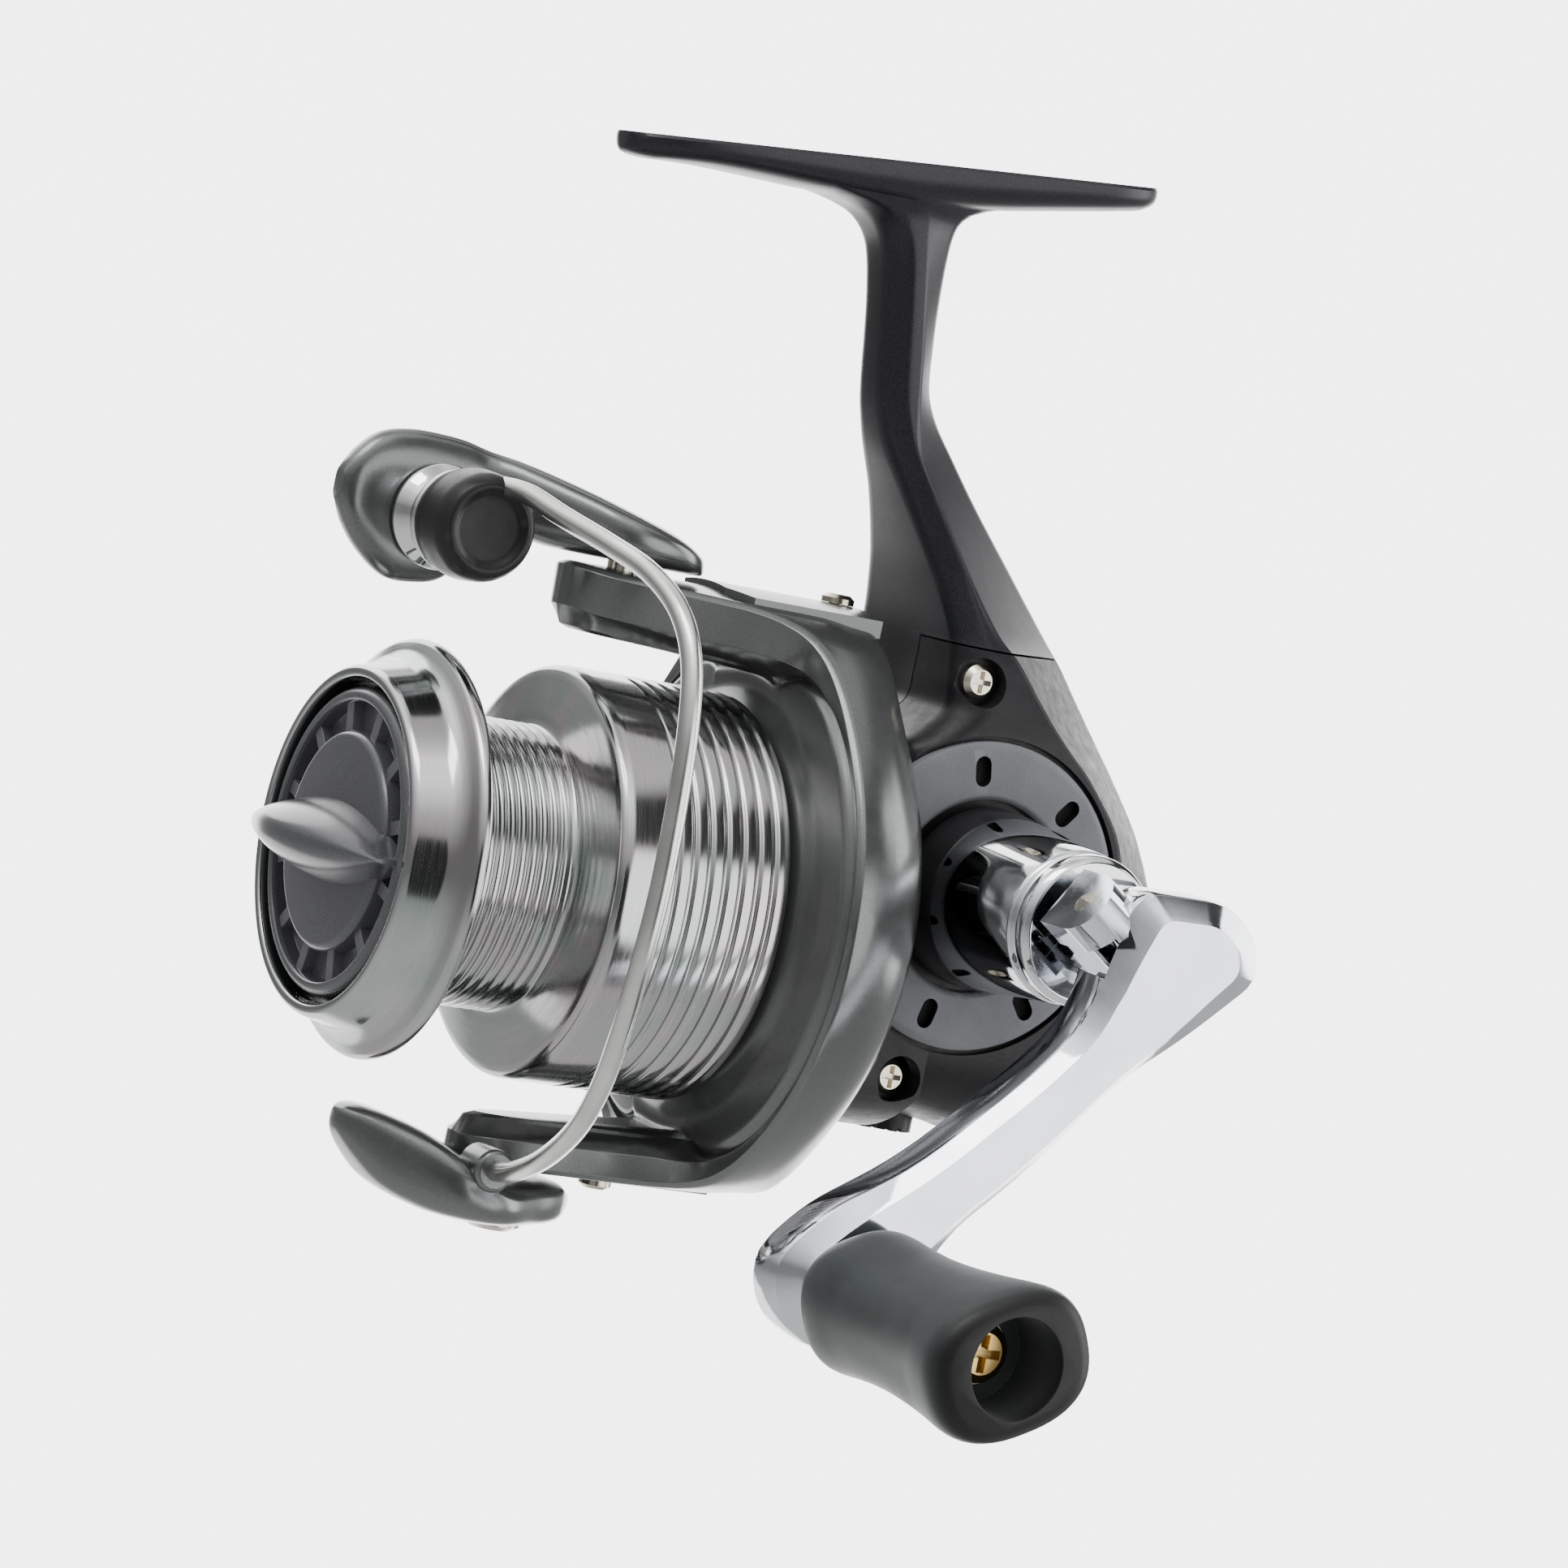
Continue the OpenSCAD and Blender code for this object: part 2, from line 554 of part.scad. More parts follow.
module slider_block() color([0.7, 0.71, 0.66]) reel() difference() {
    translate([slider_x - 2.6, -3.2, -11]) cube([5.2, 8.6, 15]);
    rod_x(shaft_r + 0.02, slider_x - 5, slider_x + 5);
    rod_x(1.23, slider_x - 5, slider_x + 5, 0, rod_z);
    translate([slider_x - 1.4, 3.4, osc_z - 7.2]) cube([2.8, 4, 14.4]);
}

module slider_clip() color([0.55, 0.56, 0.58]) reel() difference() {
    rod_x(3, slider_x + 2.65, slider_x + 3.15);
    rod_x(shaft_r + 0.02, slider_x, slider_x + 5);
}

// Keyed washer stack under the spool, with the click teeth round its rim
module spool_support() color([0.62, 0.63, 0.65]) reel() difference() {
    union() {
        translate([43.05, 0, 0]) rotate([90, 0, 90]) linear_extrude(1.2) gear_outline(24, 8, 8.8);
        rod_x(4, 44.2, 44.9);
    }
    rod_x(shaft_r + 0.02, 40, 50);
}

// --- spool ---

ridge_pitch = 1.9;
ridge_h = 0.35;
groove_pitch = 1.24;
groove_count = 9;
spool_profile = concat(
    [[45, shaft_r + 0.08], [45, 20.2], [44, 20.6], [26.8, 20.7], [26.6, 21.1], [26.7, skirt_r - 0.1]],
    [for (k = [0 : skirt_ridges - 1], p = [[0.15, 0], [1.2, 0], [1.5, -ridge_h], [1.75, -ridge_h]])
        [26.8 + ridge_pitch * k + p[0], skirt_r + p[1]]],
    [[40.4, skirt_r], [45.6, skirt_r], [46.4, skirt_r - 0.3], [46.7, skirt_r - 0.9], [47.8, drum_r + 1],
        [48.2, drum_r]],
    [for (k = [0 : groove_count - 1], p = [[0, 0], [0.6, 0.3], [1.2, 0]])
        [48.6 + groove_pitch * k + p[0], drum_r + p[1] - 0.3]],
    [[60, drum_r - 0.2], [60.4, drum_r + 0.8], [61.2, lip_r - 0.9], [61.6, lip_r - 0.2], [62.2, lip_r],
        [62.8, lip_r - 0.2], [63.4, lip_r - 1.6], [64.4, lip_r - 2.8], [68.4, 18.3], [68.8, 17.8],
        [68.6, 17.2], [62.4, 16.9], [61.6, 13.2], [52, 13.2], [52, 5], [50, shaft_r + 0.08]]);

module spool() color([0.55, 0.57, 0.56]) reel() difference() {
    turn_x(spool_profile);
    turn_x([[44, 6], [44, 20.2], [46.1, 19.6], [46.8, 13.6], [50.6, 13], [50.6, 6]]);
    for (a = [0 : 60 : 300]) rotate([a, 0, 0]) rod_x(2.4, 50, 53, 0, 9.4);
}

module line_clip() color([0.12, 0.12, 0.13]) reel() rotate([155, 0, 0])
    translate([0, 0, skirt_r + 0.02]) intersection() {
        translate([42.4, -3.4, 0]) cube([2.4, 6.8, 1]);
        translate([43.6, 0, -9]) rotate([90, 0, 90]) cylinder(r = 9.9, h = 4, center = true);
    }

module click_spring() color([0.7, 0.71, 0.73]) reel() {
    rotate([40, 0, 0]) translate([43.3, -0.7, 9.1]) cube([7.3, 1.4, 0.8]);
}

module drag_washers() color([0.5, 0.45, 0.38]) reel() for (k = [0 : 5]) difference() {
    rod_x(k % 2 == 0 ? 12.7 : 12.2, 52.05 + 1.2 * k, 53.2 + 1.2 * k);
    rod_x(shaft_r + 0.7, 50, 62);
}

module drag_ring() color([0.65, 0.66, 0.68]) reel() translate([59.9, 0, 0]) rotate([0, 90, 0])
    difference() {
        rotate_extrude() translate([12.6, 0]) circle(r = 0.55, $fn = 16);
        translate([8, -2, -2]) cube([8, 4, 4]);
    }

// Drag knob: disc with a ring channel and a raised finger blade along Y
module drag_knob() color([0.4, 0.41, 0.44]) reel() difference() {
    union() {
        turn_x([[62.7, 0], [62.7, 15.6], [63.2, 16], [67.9, 16.2], [68.5, 15.6], [68.5, 14.6], [67.3, 14.4],
            [67.3, 11.6], [68.6, 11.4], [68.9, 0]]);
        intersection() {
            translate([47.2, 0, -6]) cylinder(r = 28, h = 12, $fn = 96);
            blade_outline();
            translate([66, -20, -10]) cube([20, 40, 20]);
        }
    }
    rod_x(7.2, 60, 66.2);
    for (k = [0 : 11]) rotate([30 * k + 15, 0, 0]) translate([66.6, -1.6, 12.3]) cube([2, 3.2, 1.4]);
}

// Blade outline seen along X: two arcs that meet at the knob's rim
module blade_outline() intersection() {
    rod_x(31, 60, 80, 0, 26.6);
    rod_x(31, 60, 80, 0, -26.6);
}

module drag_spring() color([0.66, 0.67, 0.7]) reel() sweep(coil(60, 62.2, 4, 2, 14), 0.35, 6, [1, 0, 0]);

module drag_nut() color([0.7, 0.62, 0.4]) reel() difference() {
    rod_x(7.1, 62.75, 66.1);
    rod_x(shaft_r + 0.04, 60, 70);
}

// --- crank ---

crank_outline = cut_corners([[2, 12.2], [-10, 12.4], [-14.6, 9.6], [-16.2, 4.6], [-8, -2.4], [-1.4, -7],
    [8, -18.4], [15, -25], [knob_x - 6, knob_z + 1], [knob_x, knob_z - 7.8], [knob_x + 7.4, knob_z - 3.6],
    [knob_x + 9.6, knob_z + 2], [knob_x + 5, knob_z + 7.6], [20.5, -18.8], [9.4, -8.2], [4.4, -2.4], [3.8, 5]]);

module crank_arm() color([0.8, 0.82, 0.86]) reel() difference() {
    union() {
        slab_y(crank_outline, arm_y0, arm_y1);
        translate([0, fold_y, gear_offset]) rotate([0, -fold_angle, 0]) translate([0, 0, -ear_half]) {
            cylinder(r = ear_r, h = 2 * ear_half);
            translate([-ear_r, ear_low_y - fold_y, 0]) cube([2 * ear_r, fold_y - ear_low_y, 2 * ear_half]);
        }
    }
    translate([0, fold_y, gear_offset]) rotate([0, -fold_angle, 0]) {
        translate([-5.2, -8, -slot_half]) cube([14, 11.4, 2 * slot_half]);
        translate([0, 0, -12]) cylinder(r = 1.29, h = 24);
    }
    rod_y(2.3, arm_y0 - 1, arm_y1 + 1, knob_x, knob_z);
}

module knob_shaft() color([0.75, 0.76, 0.78]) reel() difference() {
    turn_y(knob_x, knob_z, [[arm_y0 - 1, 0], [arm_y0 - 1, 3.2], [arm_y0 - 0.05, 3.4], [arm_y0 - 0.05, 2.25],
        [arm_y1 + 0.05, 2.25], [arm_y1 + 0.05, 3.2], [knob_y, 3.2], [knob_y, 2], [72, 2], [72, 0]]);
    rod_y(1, 66, 74, knob_x, knob_z);
}

module knob_bush() color([0.85, 0.83, 0.76]) reel() turn_y(knob_x, knob_z,
    [[knob_y + 0.1, 2.04], [knob_y + 0.1, 3.4], [71.9, 3.4], [71.9, 2.04]]);

module knob_screw() color([0.72, 0.58, 0.25]) reel() translate([knob_x, 72.05, knob_z])
    rotate([-90, 0, 0]) cross_screw(0.95, 5, 3, 1.5);

// Knob: flared at both ends, flattened front and back, with the screw well in its outer end
module handle_knob() color([0.2, 0.22, 0.22]) reel() difference() {
    intersection() {
        turn_y(knob_x, knob_z, [[knob_y, 0], [knob_y, 5.8], [knob_y + 0.5, 6.6], [knob_y + 1.8, 7.2], [55, 7.3], [60, 7.1], [66, 7.3],
            [72, 8], [76.4, 8.8], [78.6, 8.6], [79.6, 7.8], [knob_end, 6.6], [knob_end, 0]]);
        translate([knob_x, 64, knob_z]) rotate([0, 25, 0]) cube([20, 40, 14.4], center = true);
    }
    rod_y(3.44, knob_y - 1, 72.1, knob_x, knob_z);
    rod_y(5, 71.95, 90, knob_x, knob_z);
}

body_housing();
side_cover();
drive_cap();
cover_screws();
left_cap();
front_bearing();
roller_clutch();
bearing_retainer();
drive_bearing_right();
drive_bearing_left();
slider_rod();
anti_reverse_lever();
lever_screw();
drive_gear();
handle_barrel();
fold_pin();
oscillation_gear();
pinion();
clutch_sleeve();
rotor();
rotor_nut();
arm_cover_top();
arm_cover_bottom();
arm_cover_screws();
bail_spring();
bail_pivot_screws();
bail_arm();
bail_wire();
bail_holder();
roller_screw();
roller_bush();
line_roller();
main_shaft();
slider_block();
slider_clip();
spool_support();
click_spring();
spool();
line_clip();
drag_washers();
drag_ring();
drag_knob();
drag_spring();
drag_nut();
crank_arm();
knob_shaft();
knob_bush();
knob_screw();
handle_knob();
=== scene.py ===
import json
import math

import bmesh
import bpy
from mathutils import Matrix, Vector


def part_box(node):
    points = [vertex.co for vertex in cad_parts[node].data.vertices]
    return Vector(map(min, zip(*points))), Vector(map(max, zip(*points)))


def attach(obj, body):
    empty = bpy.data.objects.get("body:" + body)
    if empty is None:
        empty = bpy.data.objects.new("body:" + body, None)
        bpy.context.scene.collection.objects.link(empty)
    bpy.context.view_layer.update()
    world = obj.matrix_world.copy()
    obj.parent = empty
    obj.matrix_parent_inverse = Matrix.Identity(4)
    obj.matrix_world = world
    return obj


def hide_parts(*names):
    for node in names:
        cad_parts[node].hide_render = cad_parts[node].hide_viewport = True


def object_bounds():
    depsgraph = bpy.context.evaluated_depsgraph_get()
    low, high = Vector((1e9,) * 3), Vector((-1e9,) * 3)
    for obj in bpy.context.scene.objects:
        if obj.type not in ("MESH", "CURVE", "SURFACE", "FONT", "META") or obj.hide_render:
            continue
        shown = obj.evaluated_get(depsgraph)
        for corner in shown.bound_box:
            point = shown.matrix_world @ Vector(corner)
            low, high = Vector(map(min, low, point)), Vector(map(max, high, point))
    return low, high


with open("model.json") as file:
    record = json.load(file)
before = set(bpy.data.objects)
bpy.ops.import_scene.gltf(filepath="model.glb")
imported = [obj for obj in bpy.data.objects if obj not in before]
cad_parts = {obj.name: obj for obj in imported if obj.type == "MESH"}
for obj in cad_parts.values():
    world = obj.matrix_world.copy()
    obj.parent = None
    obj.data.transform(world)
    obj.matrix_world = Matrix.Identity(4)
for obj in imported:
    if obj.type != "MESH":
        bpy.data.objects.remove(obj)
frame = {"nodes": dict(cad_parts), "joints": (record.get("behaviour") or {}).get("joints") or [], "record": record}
cad_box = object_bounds()

# --- places, from the frame ---

JOINTS = {joint["name"]: joint for joint in frame["joints"]}
MM = 0.001


def joint_point(name):
    """A joint's place in the row frame, in metres."""
    return Vector(JOINTS[name]["pos_m"])


# Reel coordinates: millimetres, X along the spool axis, origin under the crank axis
REEL = Vector((joint_point("handle_turn").x, 0, joint_point("rotor_turn").z))


def row(p):
    """A point in reel coordinates as a point in the row frame."""
    return Vector(p) * MM + REEL


def reel(name):
    """A joint's place in reel coordinates."""
    return (joint_point(name) - REEL) / MM


DRIVE_Z = reel("handle_turn").z
PIVOT_X = reel("bail_swing").x
ROLLER = reel("line_roller_spin")
KNOB = reel("knob_spin")
FOLD = reel("crank_fold")
SEAT = -REEL / MM
SEAT_AXIS = Vector(frame["record"]["mounts"][0]["axis"])
PIN_AXIS = Vector(JOINTS["crank_fold"]["axis"])
ARM_DIR = PIN_AXIS.cross(Vector((0, -1, 0)))

# --- camera ---

FOCAL_PX = 7162.34
FRAME_PX = 1932
SENSOR_MM = 36
cam_data = bpy.data.cameras.new("camera")
cam_data.sensor_width = SENSOR_MM
cam_data.lens = FOCAL_PX / FRAME_PX * SENSOR_MM
cam_data.clip_start = 0.05
cam_data.clip_end = 100
camera = bpy.data.objects.new("camera", cam_data)
bpy.context.collection.objects.link(camera)
RIGHT = Vector((-0.85673781, 0.47618011, 0.19812327))
UP = Vector((0.14540184, -0.14556134, 0.97860625))
BACK = Vector((0.49483192, 0.86721647, 0.05547044))
CAMERA_AT = (324.9, 538.6, 47.9)
turn = Matrix((RIGHT, UP, BACK)).transposed()
camera.matrix_world = Matrix.Translation(row(CAMERA_AT)) @ turn.to_4x4()
bpy.context.scene.camera = camera

# --- materials ---


class Nodes:
    """Short calls for building one material's node tree."""

    def __init__(self, name):
        self.material = bpy.data.materials.new(name)
        self.material.use_nodes = True
        self.tree = self.material.node_tree
        self.shader = self.tree.nodes["Principled BSDF"]
        coords = self.add("ShaderNodeTexCoord")
        scale = self.add("ShaderNodeMapping")
        scale.inputs["Scale"].default_value = (1 / MM, 1 / MM, 1 / MM)
        self.link(coords.outputs["Object"], scale.inputs["Vector"])
        self.mm = scale.outputs["Vector"]
        self.bump_out = None

    def add(self, kind, **values):
        node = self.tree.nodes.new(kind)
        for key, value in values.items():
            setattr(node, key, value)
        return node

    def link(self, a, b):
        self.tree.links.new(a, b)

    def stretched(self, scale):
        """Millimetre coordinates stretched along the axes with a small scale."""
        node = self.add("ShaderNodeMapping")
        node.inputs["Scale"].default_value = scale
        self.link(self.mm, node.inputs["Vector"])
        return node.outputs["Vector"]

    def noise(self, scale, detail=3, vector=None, roughness=0.55):
        node = self.add("ShaderNodeTexNoise")
        node.inputs["Scale"].default_value = scale
        node.inputs["Detail"].default_value = detail
        node.inputs["Roughness"].default_value = roughness
        self.link(vector or self.mm, node.inputs["Vector"])
        return node.outputs["Fac"]

    def ramp(self, value, stops):
        node = self.add("ShaderNodeValToRGB")
        elements = node.color_ramp.elements
        while len(elements) < len(stops):
            elements.new(0.5)
        for element, (place, color) in zip(elements, stops):
            element.position = place
            element.color = (*color, 1) if len(color) == 3 else color
        self.link(value, node.inputs["Fac"])
        return node.outputs["Color"]

    def span(self, value, low, high):
        """value from 0..1 mapped to low..high."""
        node = self.add("ShaderNodeMapRange")
        node.inputs["From Min"].default_value = 0.3
        node.inputs["From Max"].default_value = 0.7
        node.inputs["To Min"].default_value = low
        node.inputs["To Max"].default_value = high
        self.link(value, node.inputs["Value"])
        return node.outputs["Result"]

    def mix(self, factor, a, b, blend="MIX"):
        node = self.add("ShaderNodeMix", data_type="RGBA", blend_type=blend)
        for value, place in ((factor, 0), (a, 6), (b, 7)):
            if isinstance(value, (int, float)):
                node.inputs[place].default_value = value
            elif isinstance(value, tuple):
                node.inputs[place].default_value = (*value, 1)
            else:
                self.link(value, node.inputs[place])
        return node.outputs[2]

    def worn(self, color, pale, edge):
        """color, mixed with a share of pale along sharp outer edges."""
        geometry = self.add("ShaderNodeNewGeometry")
        edges = self.ramp(geometry.outputs["Pointiness"], [(0.51, (0, 0, 0)), (0.56, (1, 1, 1))])
        return self.mix(self.mix(edges, (0, 0, 0), (edge, edge, edge)), color, pale)

    def along_y(self, start, end):
        """0 up to a distance along Y, in millimetres, rising to 1 at a second one."""
        split = self.add("ShaderNodeSeparateXYZ")
        self.link(self.mm, split.inputs[0])
        rise = self.add("ShaderNodeMapRange")
        rise.inputs["From Min"].default_value = start
        rise.inputs["From Max"].default_value = end
        self.link(split.outputs["Y"], rise.inputs["Value"])
        return rise.outputs["Result"]

    def bump(self, height, distance, strength=1.0):
        """Adds a height in millimetres to the surface; calls build on each other."""
        node = self.add("ShaderNodeBump")
        node.inputs["Strength"].default_value = strength
        node.inputs["Distance"].default_value = distance * MM
        self.link(height, node.inputs["Height"])
        if self.bump_out:
            self.link(self.bump_out, node.inputs["Normal"])
        self.bump_out = node.outputs["Normal"]

    def done(self, color, roughness, **constants):
        """Joins colour and roughness to the shader, sets its other sockets, and returns the material."""
        self.link(color, self.shader.inputs["Base Color"])
        self.link(roughness, self.shader.inputs["Roughness"])
        if self.bump_out:
            self.link(self.bump_out, self.shader.inputs["Normal"])
        for key, value in constants.items():
            self.shader.inputs[key.replace("_", " ")].default_value = value
        return self.material


def painted(name, dark, light, rough, metallic, coat=0.3, grain=6.0, grain_mm=0.012, edge=0.35):
    """Metallic paint: fine flake mottling, slight orange peel, and paler worn edges."""
    n = Nodes(name)
    flake = n.noise(grain, 2)
    cloud = n.noise(0.09, 3)
    color = n.ramp(flake, [(0.35, dark), (0.68, light)])
    color = n.mix(n.span(cloud, 0.0, 0.1), color, tuple(c * 0.8 for c in dark))
    pale = tuple(min(1, c * 2.2 + 0.02) for c in light)
    color = n.worn(color, pale, edge)
    n.bump(flake, grain_mm, 0.5)
    roughness = n.span(n.noise(0.5, 4), rough - 0.02, rough + 0.03)
    return n.done(color, roughness, Metallic=metallic, Coat_Weight=coat, Coat_Roughness=0.18, Coat_IOR=1.3,
                  Specular_IOR_Level=0.3)


def moulded(name, dark, light, rough, grain=3.2, grain_mm=0.03, edge=0.25):
    """Moulded plastic with a spark-eroded grain and slightly polished edges."""
    n = Nodes(name)
    grains = n.noise(grain, 4, roughness=0.65)
    cloud = n.noise(0.12, 2)
    color = n.mix(n.span(cloud, 0.0, 1.0), dark, light)
    color = n.mix(n.span(grains, 0.0, 0.25), color, tuple(c * 1.5 for c in light))
    pale = tuple(min(1, c * 2.0 + 0.015) for c in light)
    color = n.worn(color, pale, edge)
    n.bump(grains, grain_mm, 0.7)
    return n.done(color, n.span(n.noise(0.7, 4), rough - 0.06, rough + 0.08), Specular_IOR_Level=0.22)


def plated(name, dark, light, rough, scratch_axis=(0.3, 0.3, 0.3), wave_mm=0.015, painted_shade_to=None):
    """Polished or brushed metal: fine scratches, soft waves, smudged gloss; optionally painted shade, near black
    up to a given distance in mm along Y.
    """
    n = Nodes(name)
    scratch = n.noise(5.0, 3, vector=n.stretched(scratch_axis))
    smudge = n.noise(0.16, 4)
    color = n.ramp(smudge, [(0.3, dark), (0.7, light)])
    if painted_shade_to is not None:
        # Painted shade: near black up to 9 mm short of the given distance along Y, fading to bright metal at it
        color = n.mix(n.along_y(painted_shade_to - 9, painted_shade_to), (0.035, 0.035, 0.038), color)
    n.bump(scratch, 0.003, 0.6)
    n.bump(n.noise(0.22, 1), wave_mm, 0.5)
    roughness = n.span(smudge, max(0.02, rough - 0.03), rough + 0.05)
    return n.done(color, roughness, Metallic=1.0)


def anodised(name):
    """Titanium-grey anodised spool: turning lines round the axis and faint green and pink tints."""
    n = Nodes(name)
    turning = n.noise(9.0, 2, vector=n.stretched((1.0, 0.02, 0.02)))
    tint = n.noise(0.09, 2, vector=n.stretched((1.0, 1.0, 1.0)))
    color = n.ramp(tint, [(0.34, (0.40, 0.45, 0.43)), (0.47, (0.47, 0.47, 0.47)),
                          (0.56, (0.50, 0.46, 0.47)), (0.68, (0.43, 0.47, 0.45))])
    color = n.mix(n.span(turning, 0.0, 0.25), color, (0.26, 0.27, 0.27))
    n.bump(turning, 0.004, 0.5)
    return n.done(color, n.span(turning, 0.1, 0.19), Metallic=1.0)


def rubbery(name, dark_from):
    """Soft-touch rubber: fine grain, faint sheen and rubbed patches; blacker past dark_from mm along Y."""
    n = Nodes(name)
    grains = n.noise(7.0, 4, roughness=0.7)
    rub = n.noise(0.15, 3)
    color = n.ramp(rub, [(0.3, (0.016, 0.020, 0.020)), (0.7, (0.032, 0.038, 0.038))])
    color = n.mix(n.span(grains, 0.0, 0.2), color, (0.07, 0.08, 0.08))
    color = n.mix(n.along_y(dark_from - 2.5, dark_from), color, (0.004, 0.004, 0.005))
    n.bump(grains, 0.02, 0.6)
    return n.done(color, n.span(rub, 0.38, 0.5), Sheen_Weight=0.1, Sheen_Roughness=0.4,
                  Specular_IOR_Level=0.3)


def felt(name):
    """Oiled drag felt between thin steel discs."""
    n = Nodes(name)
    fibre = n.noise(6.0, 5, roughness=0.8)
    color = n.ramp(fibre, [(0.3, (0.10, 0.08, 0.06)), (0.7, (0.30, 0.26, 0.2))])
    n.bump(fibre, 0.08, 0.9)
    return n.done(color, n.span(fibre, 0.7, 0.9), Sheen_Weight=0.3)


MAT = {
    "body_paint": painted("body_paint", (0.008, 0.008, 0.011), (0.020, 0.020, 0.025), 0.34, 0.2,
                          coat=0.12, edge=0.12),
    "cover_black": moulded("cover_black", (0.006, 0.006, 0.007), (0.011, 0.011, 0.013), 0.36, edge=0.1),
    "cap_grey": moulded("cap_grey", (0.10, 0.105, 0.115), (0.14, 0.145, 0.155), 0.46,
                        grain=3.8, grain_mm=0.04),
    "screw_nickel": plated("screw_nickel", (0.52, 0.47, 0.38), (0.70, 0.66, 0.56), 0.22),
    "bearing_steel": plated("bearing_steel", (0.42, 0.43, 0.45), (0.58, 0.59, 0.61), 0.2),
    "retainer_brass": plated("retainer_brass", (0.50, 0.33, 0.11), (0.68, 0.50, 0.22), 0.24),
    "gear_metal": plated("gear_metal", (0.36, 0.34, 0.29), (0.50, 0.48, 0.42), 0.35),
    "gear_nylon": moulded("gear_nylon", (0.62, 0.60, 0.52), (0.70, 0.68, 0.61), 0.45, edge=0.0),
    # The handle's chrome has painted shade at its base near the body, fading out by 27 mm along Y
    "handle_chrome": plated("handle_chrome", (0.68, 0.70, 0.72), (0.80, 0.81, 0.83), 0.05,
                            wave_mm=0.004, painted_shade_to=27),
    "crank_chrome": plated("crank_chrome", (0.66, 0.68, 0.72), (0.79, 0.81, 0.85), 0.08),
    "crank_satin": plated("crank_satin", (0.52, 0.53, 0.58), (0.62, 0.63, 0.69), 0.26,
                          scratch_axis=(0.05, 1, 1)),
    "rotor_graphite": painted("rotor_graphite", (0.115, 0.12, 0.12), (0.165, 0.17, 0.17), 0.24, 0.8,
                              coat=0.5, grain=9.0, grain_mm=0.003, edge=0.15),
    "trim_graphite": painted("trim_graphite", (0.075, 0.08, 0.08), (0.115, 0.12, 0.12), 0.28, 0.75, coat=0.4,
                             grain=9.0, grain_mm=0.003, edge=0.15),
    "spring_steel": plated("spring_steel", (0.4, 0.41, 0.43), (0.52, 0.53, 0.55), 0.25),
    "wire_nickel": plated("wire_nickel", (0.60, 0.61, 0.58), (0.72, 0.73, 0.70), 0.24,
                          scratch_axis=(1, 1, 0.05)),
    "guide_black": moulded("guide_black", (0.006, 0.006, 0.007), (0.013, 0.013, 0.014), 0.33, grain=5.0,
                           grain_mm=0.012),
    "roller_chrome": plated("roller_chrome", (0.66, 0.67, 0.68), (0.8, 0.8, 0.81), 0.06),
    "spool_chrome": anodised("spool_chrome"),
    "drag_felt": felt("drag_felt"),
    "drag_grey": painted("drag_grey", (0.055, 0.056, 0.062), (0.085, 0.086, 0.092), 0.22, 0.3,
                         coat=0.6, grain=7.0, grain_mm=0.004, edge=0.2),
    "knob_rubber": rubbery("knob_rubber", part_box("handle_knob")[1].y / MM - 0.4),
    # A near-black finish that paints the shade inside the drive cap's slots
    "slot_painted_shade": moulded("slot_painted_shade", (0.002, 0.002, 0.002), (0.004, 0.004, 0.004), 0.7),
}

# --- mesh helpers ---

ROUND_ANGLE = 38  # degrees; edges sharper than this stay sharp in plain shading


def finish_mesh(obj, sharp):
    """Outward normals, welded seams and smooth shading with edges kept sharp above an angle."""
    work = bmesh.new()
    work.from_mesh(obj.data)
    bmesh.ops.remove_doubles(work, verts=work.verts, dist=1e-7)
    bmesh.ops.recalc_face_normals(work, faces=work.faces)
    work.to_mesh(obj.data)
    work.free()
    obj.data.polygons.foreach_set("use_smooth", [True] * len(obj.data.polygons))
    obj.data.set_sharp_from_angle(angle=math.radians(sharp))


def new_object(name, points, faces):
    """An object in the scene from points in the row frame."""
    mesh = bpy.data.meshes.new(name)
    mesh.from_pydata(points, [], faces)
    obj = bpy.data.objects.new(name, mesh)
    bpy.context.collection.objects.link(obj)
    return obj


def piece(name, parts, body, slot, replaces=(), sharp=ROUND_ANGLE):
    """One object from (points, faces) parts in reel coordinates, riding on a body."""
    points, faces = [], []
    for part_points, part_faces in parts:
        start = len(points)
        points += [row(p) for p in part_points]
        faces += [[start + i for i in face] for face in part_faces]
    obj = new_object(name, points, faces)
    obj.data.materials.append(MAT[slot])
    finish_mesh(obj, sharp)
    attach(obj, body)
    if replaces:
        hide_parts(*replaces)
    return obj


def rounded(corners, steps=4, closed=True):
    """A 2D outline from (x, y, radius) corners, each with its own rounding; an open one keeps its ends."""
    outline = []
    count = len(corners)
    for i, (x, y, radius) in enumerate(corners):
        here = Vector((x, y))
        if not closed and i in (0, count - 1):
            outline.append(here)
            continue
        before = Vector(corners[i - 1][:2]) - here
        after = Vector(corners[(i + 1) % count][:2]) - here
        reach = min(radius, before.length * 0.48, after.length * 0.48)
        if radius == 0:
            outline.append(here)
            continue
        a, b = here + before.normalized() * reach, here + after.normalized() * reach
        for k in range(steps + 1):
            t = k / steps
            outline.append(a * (1 - t) ** 2 + here * 2 * t * (1 - t) + b * t * t)
    return outline


def smooth_path(points, steps):
    """Catmull-Rom curve through points, steps to each span."""
    points = [Vector(p) for p in points]
    out = []
    for i in range(len(points) - 1):
        a, b = points[max(i - 1, 0)], points[i]
        c, d = points[i + 1], points[min(i + 2, len(points) - 1)]
        for k in range(steps):
            t = k / steps
            out.append(0.5 * (2 * b + (c - a) * t + (2 * a - 5 * b + 4 * c - d) * t * t
                              + (3 * b - a - 3 * c + d) * t ** 3))
    return out + [points[-1]]


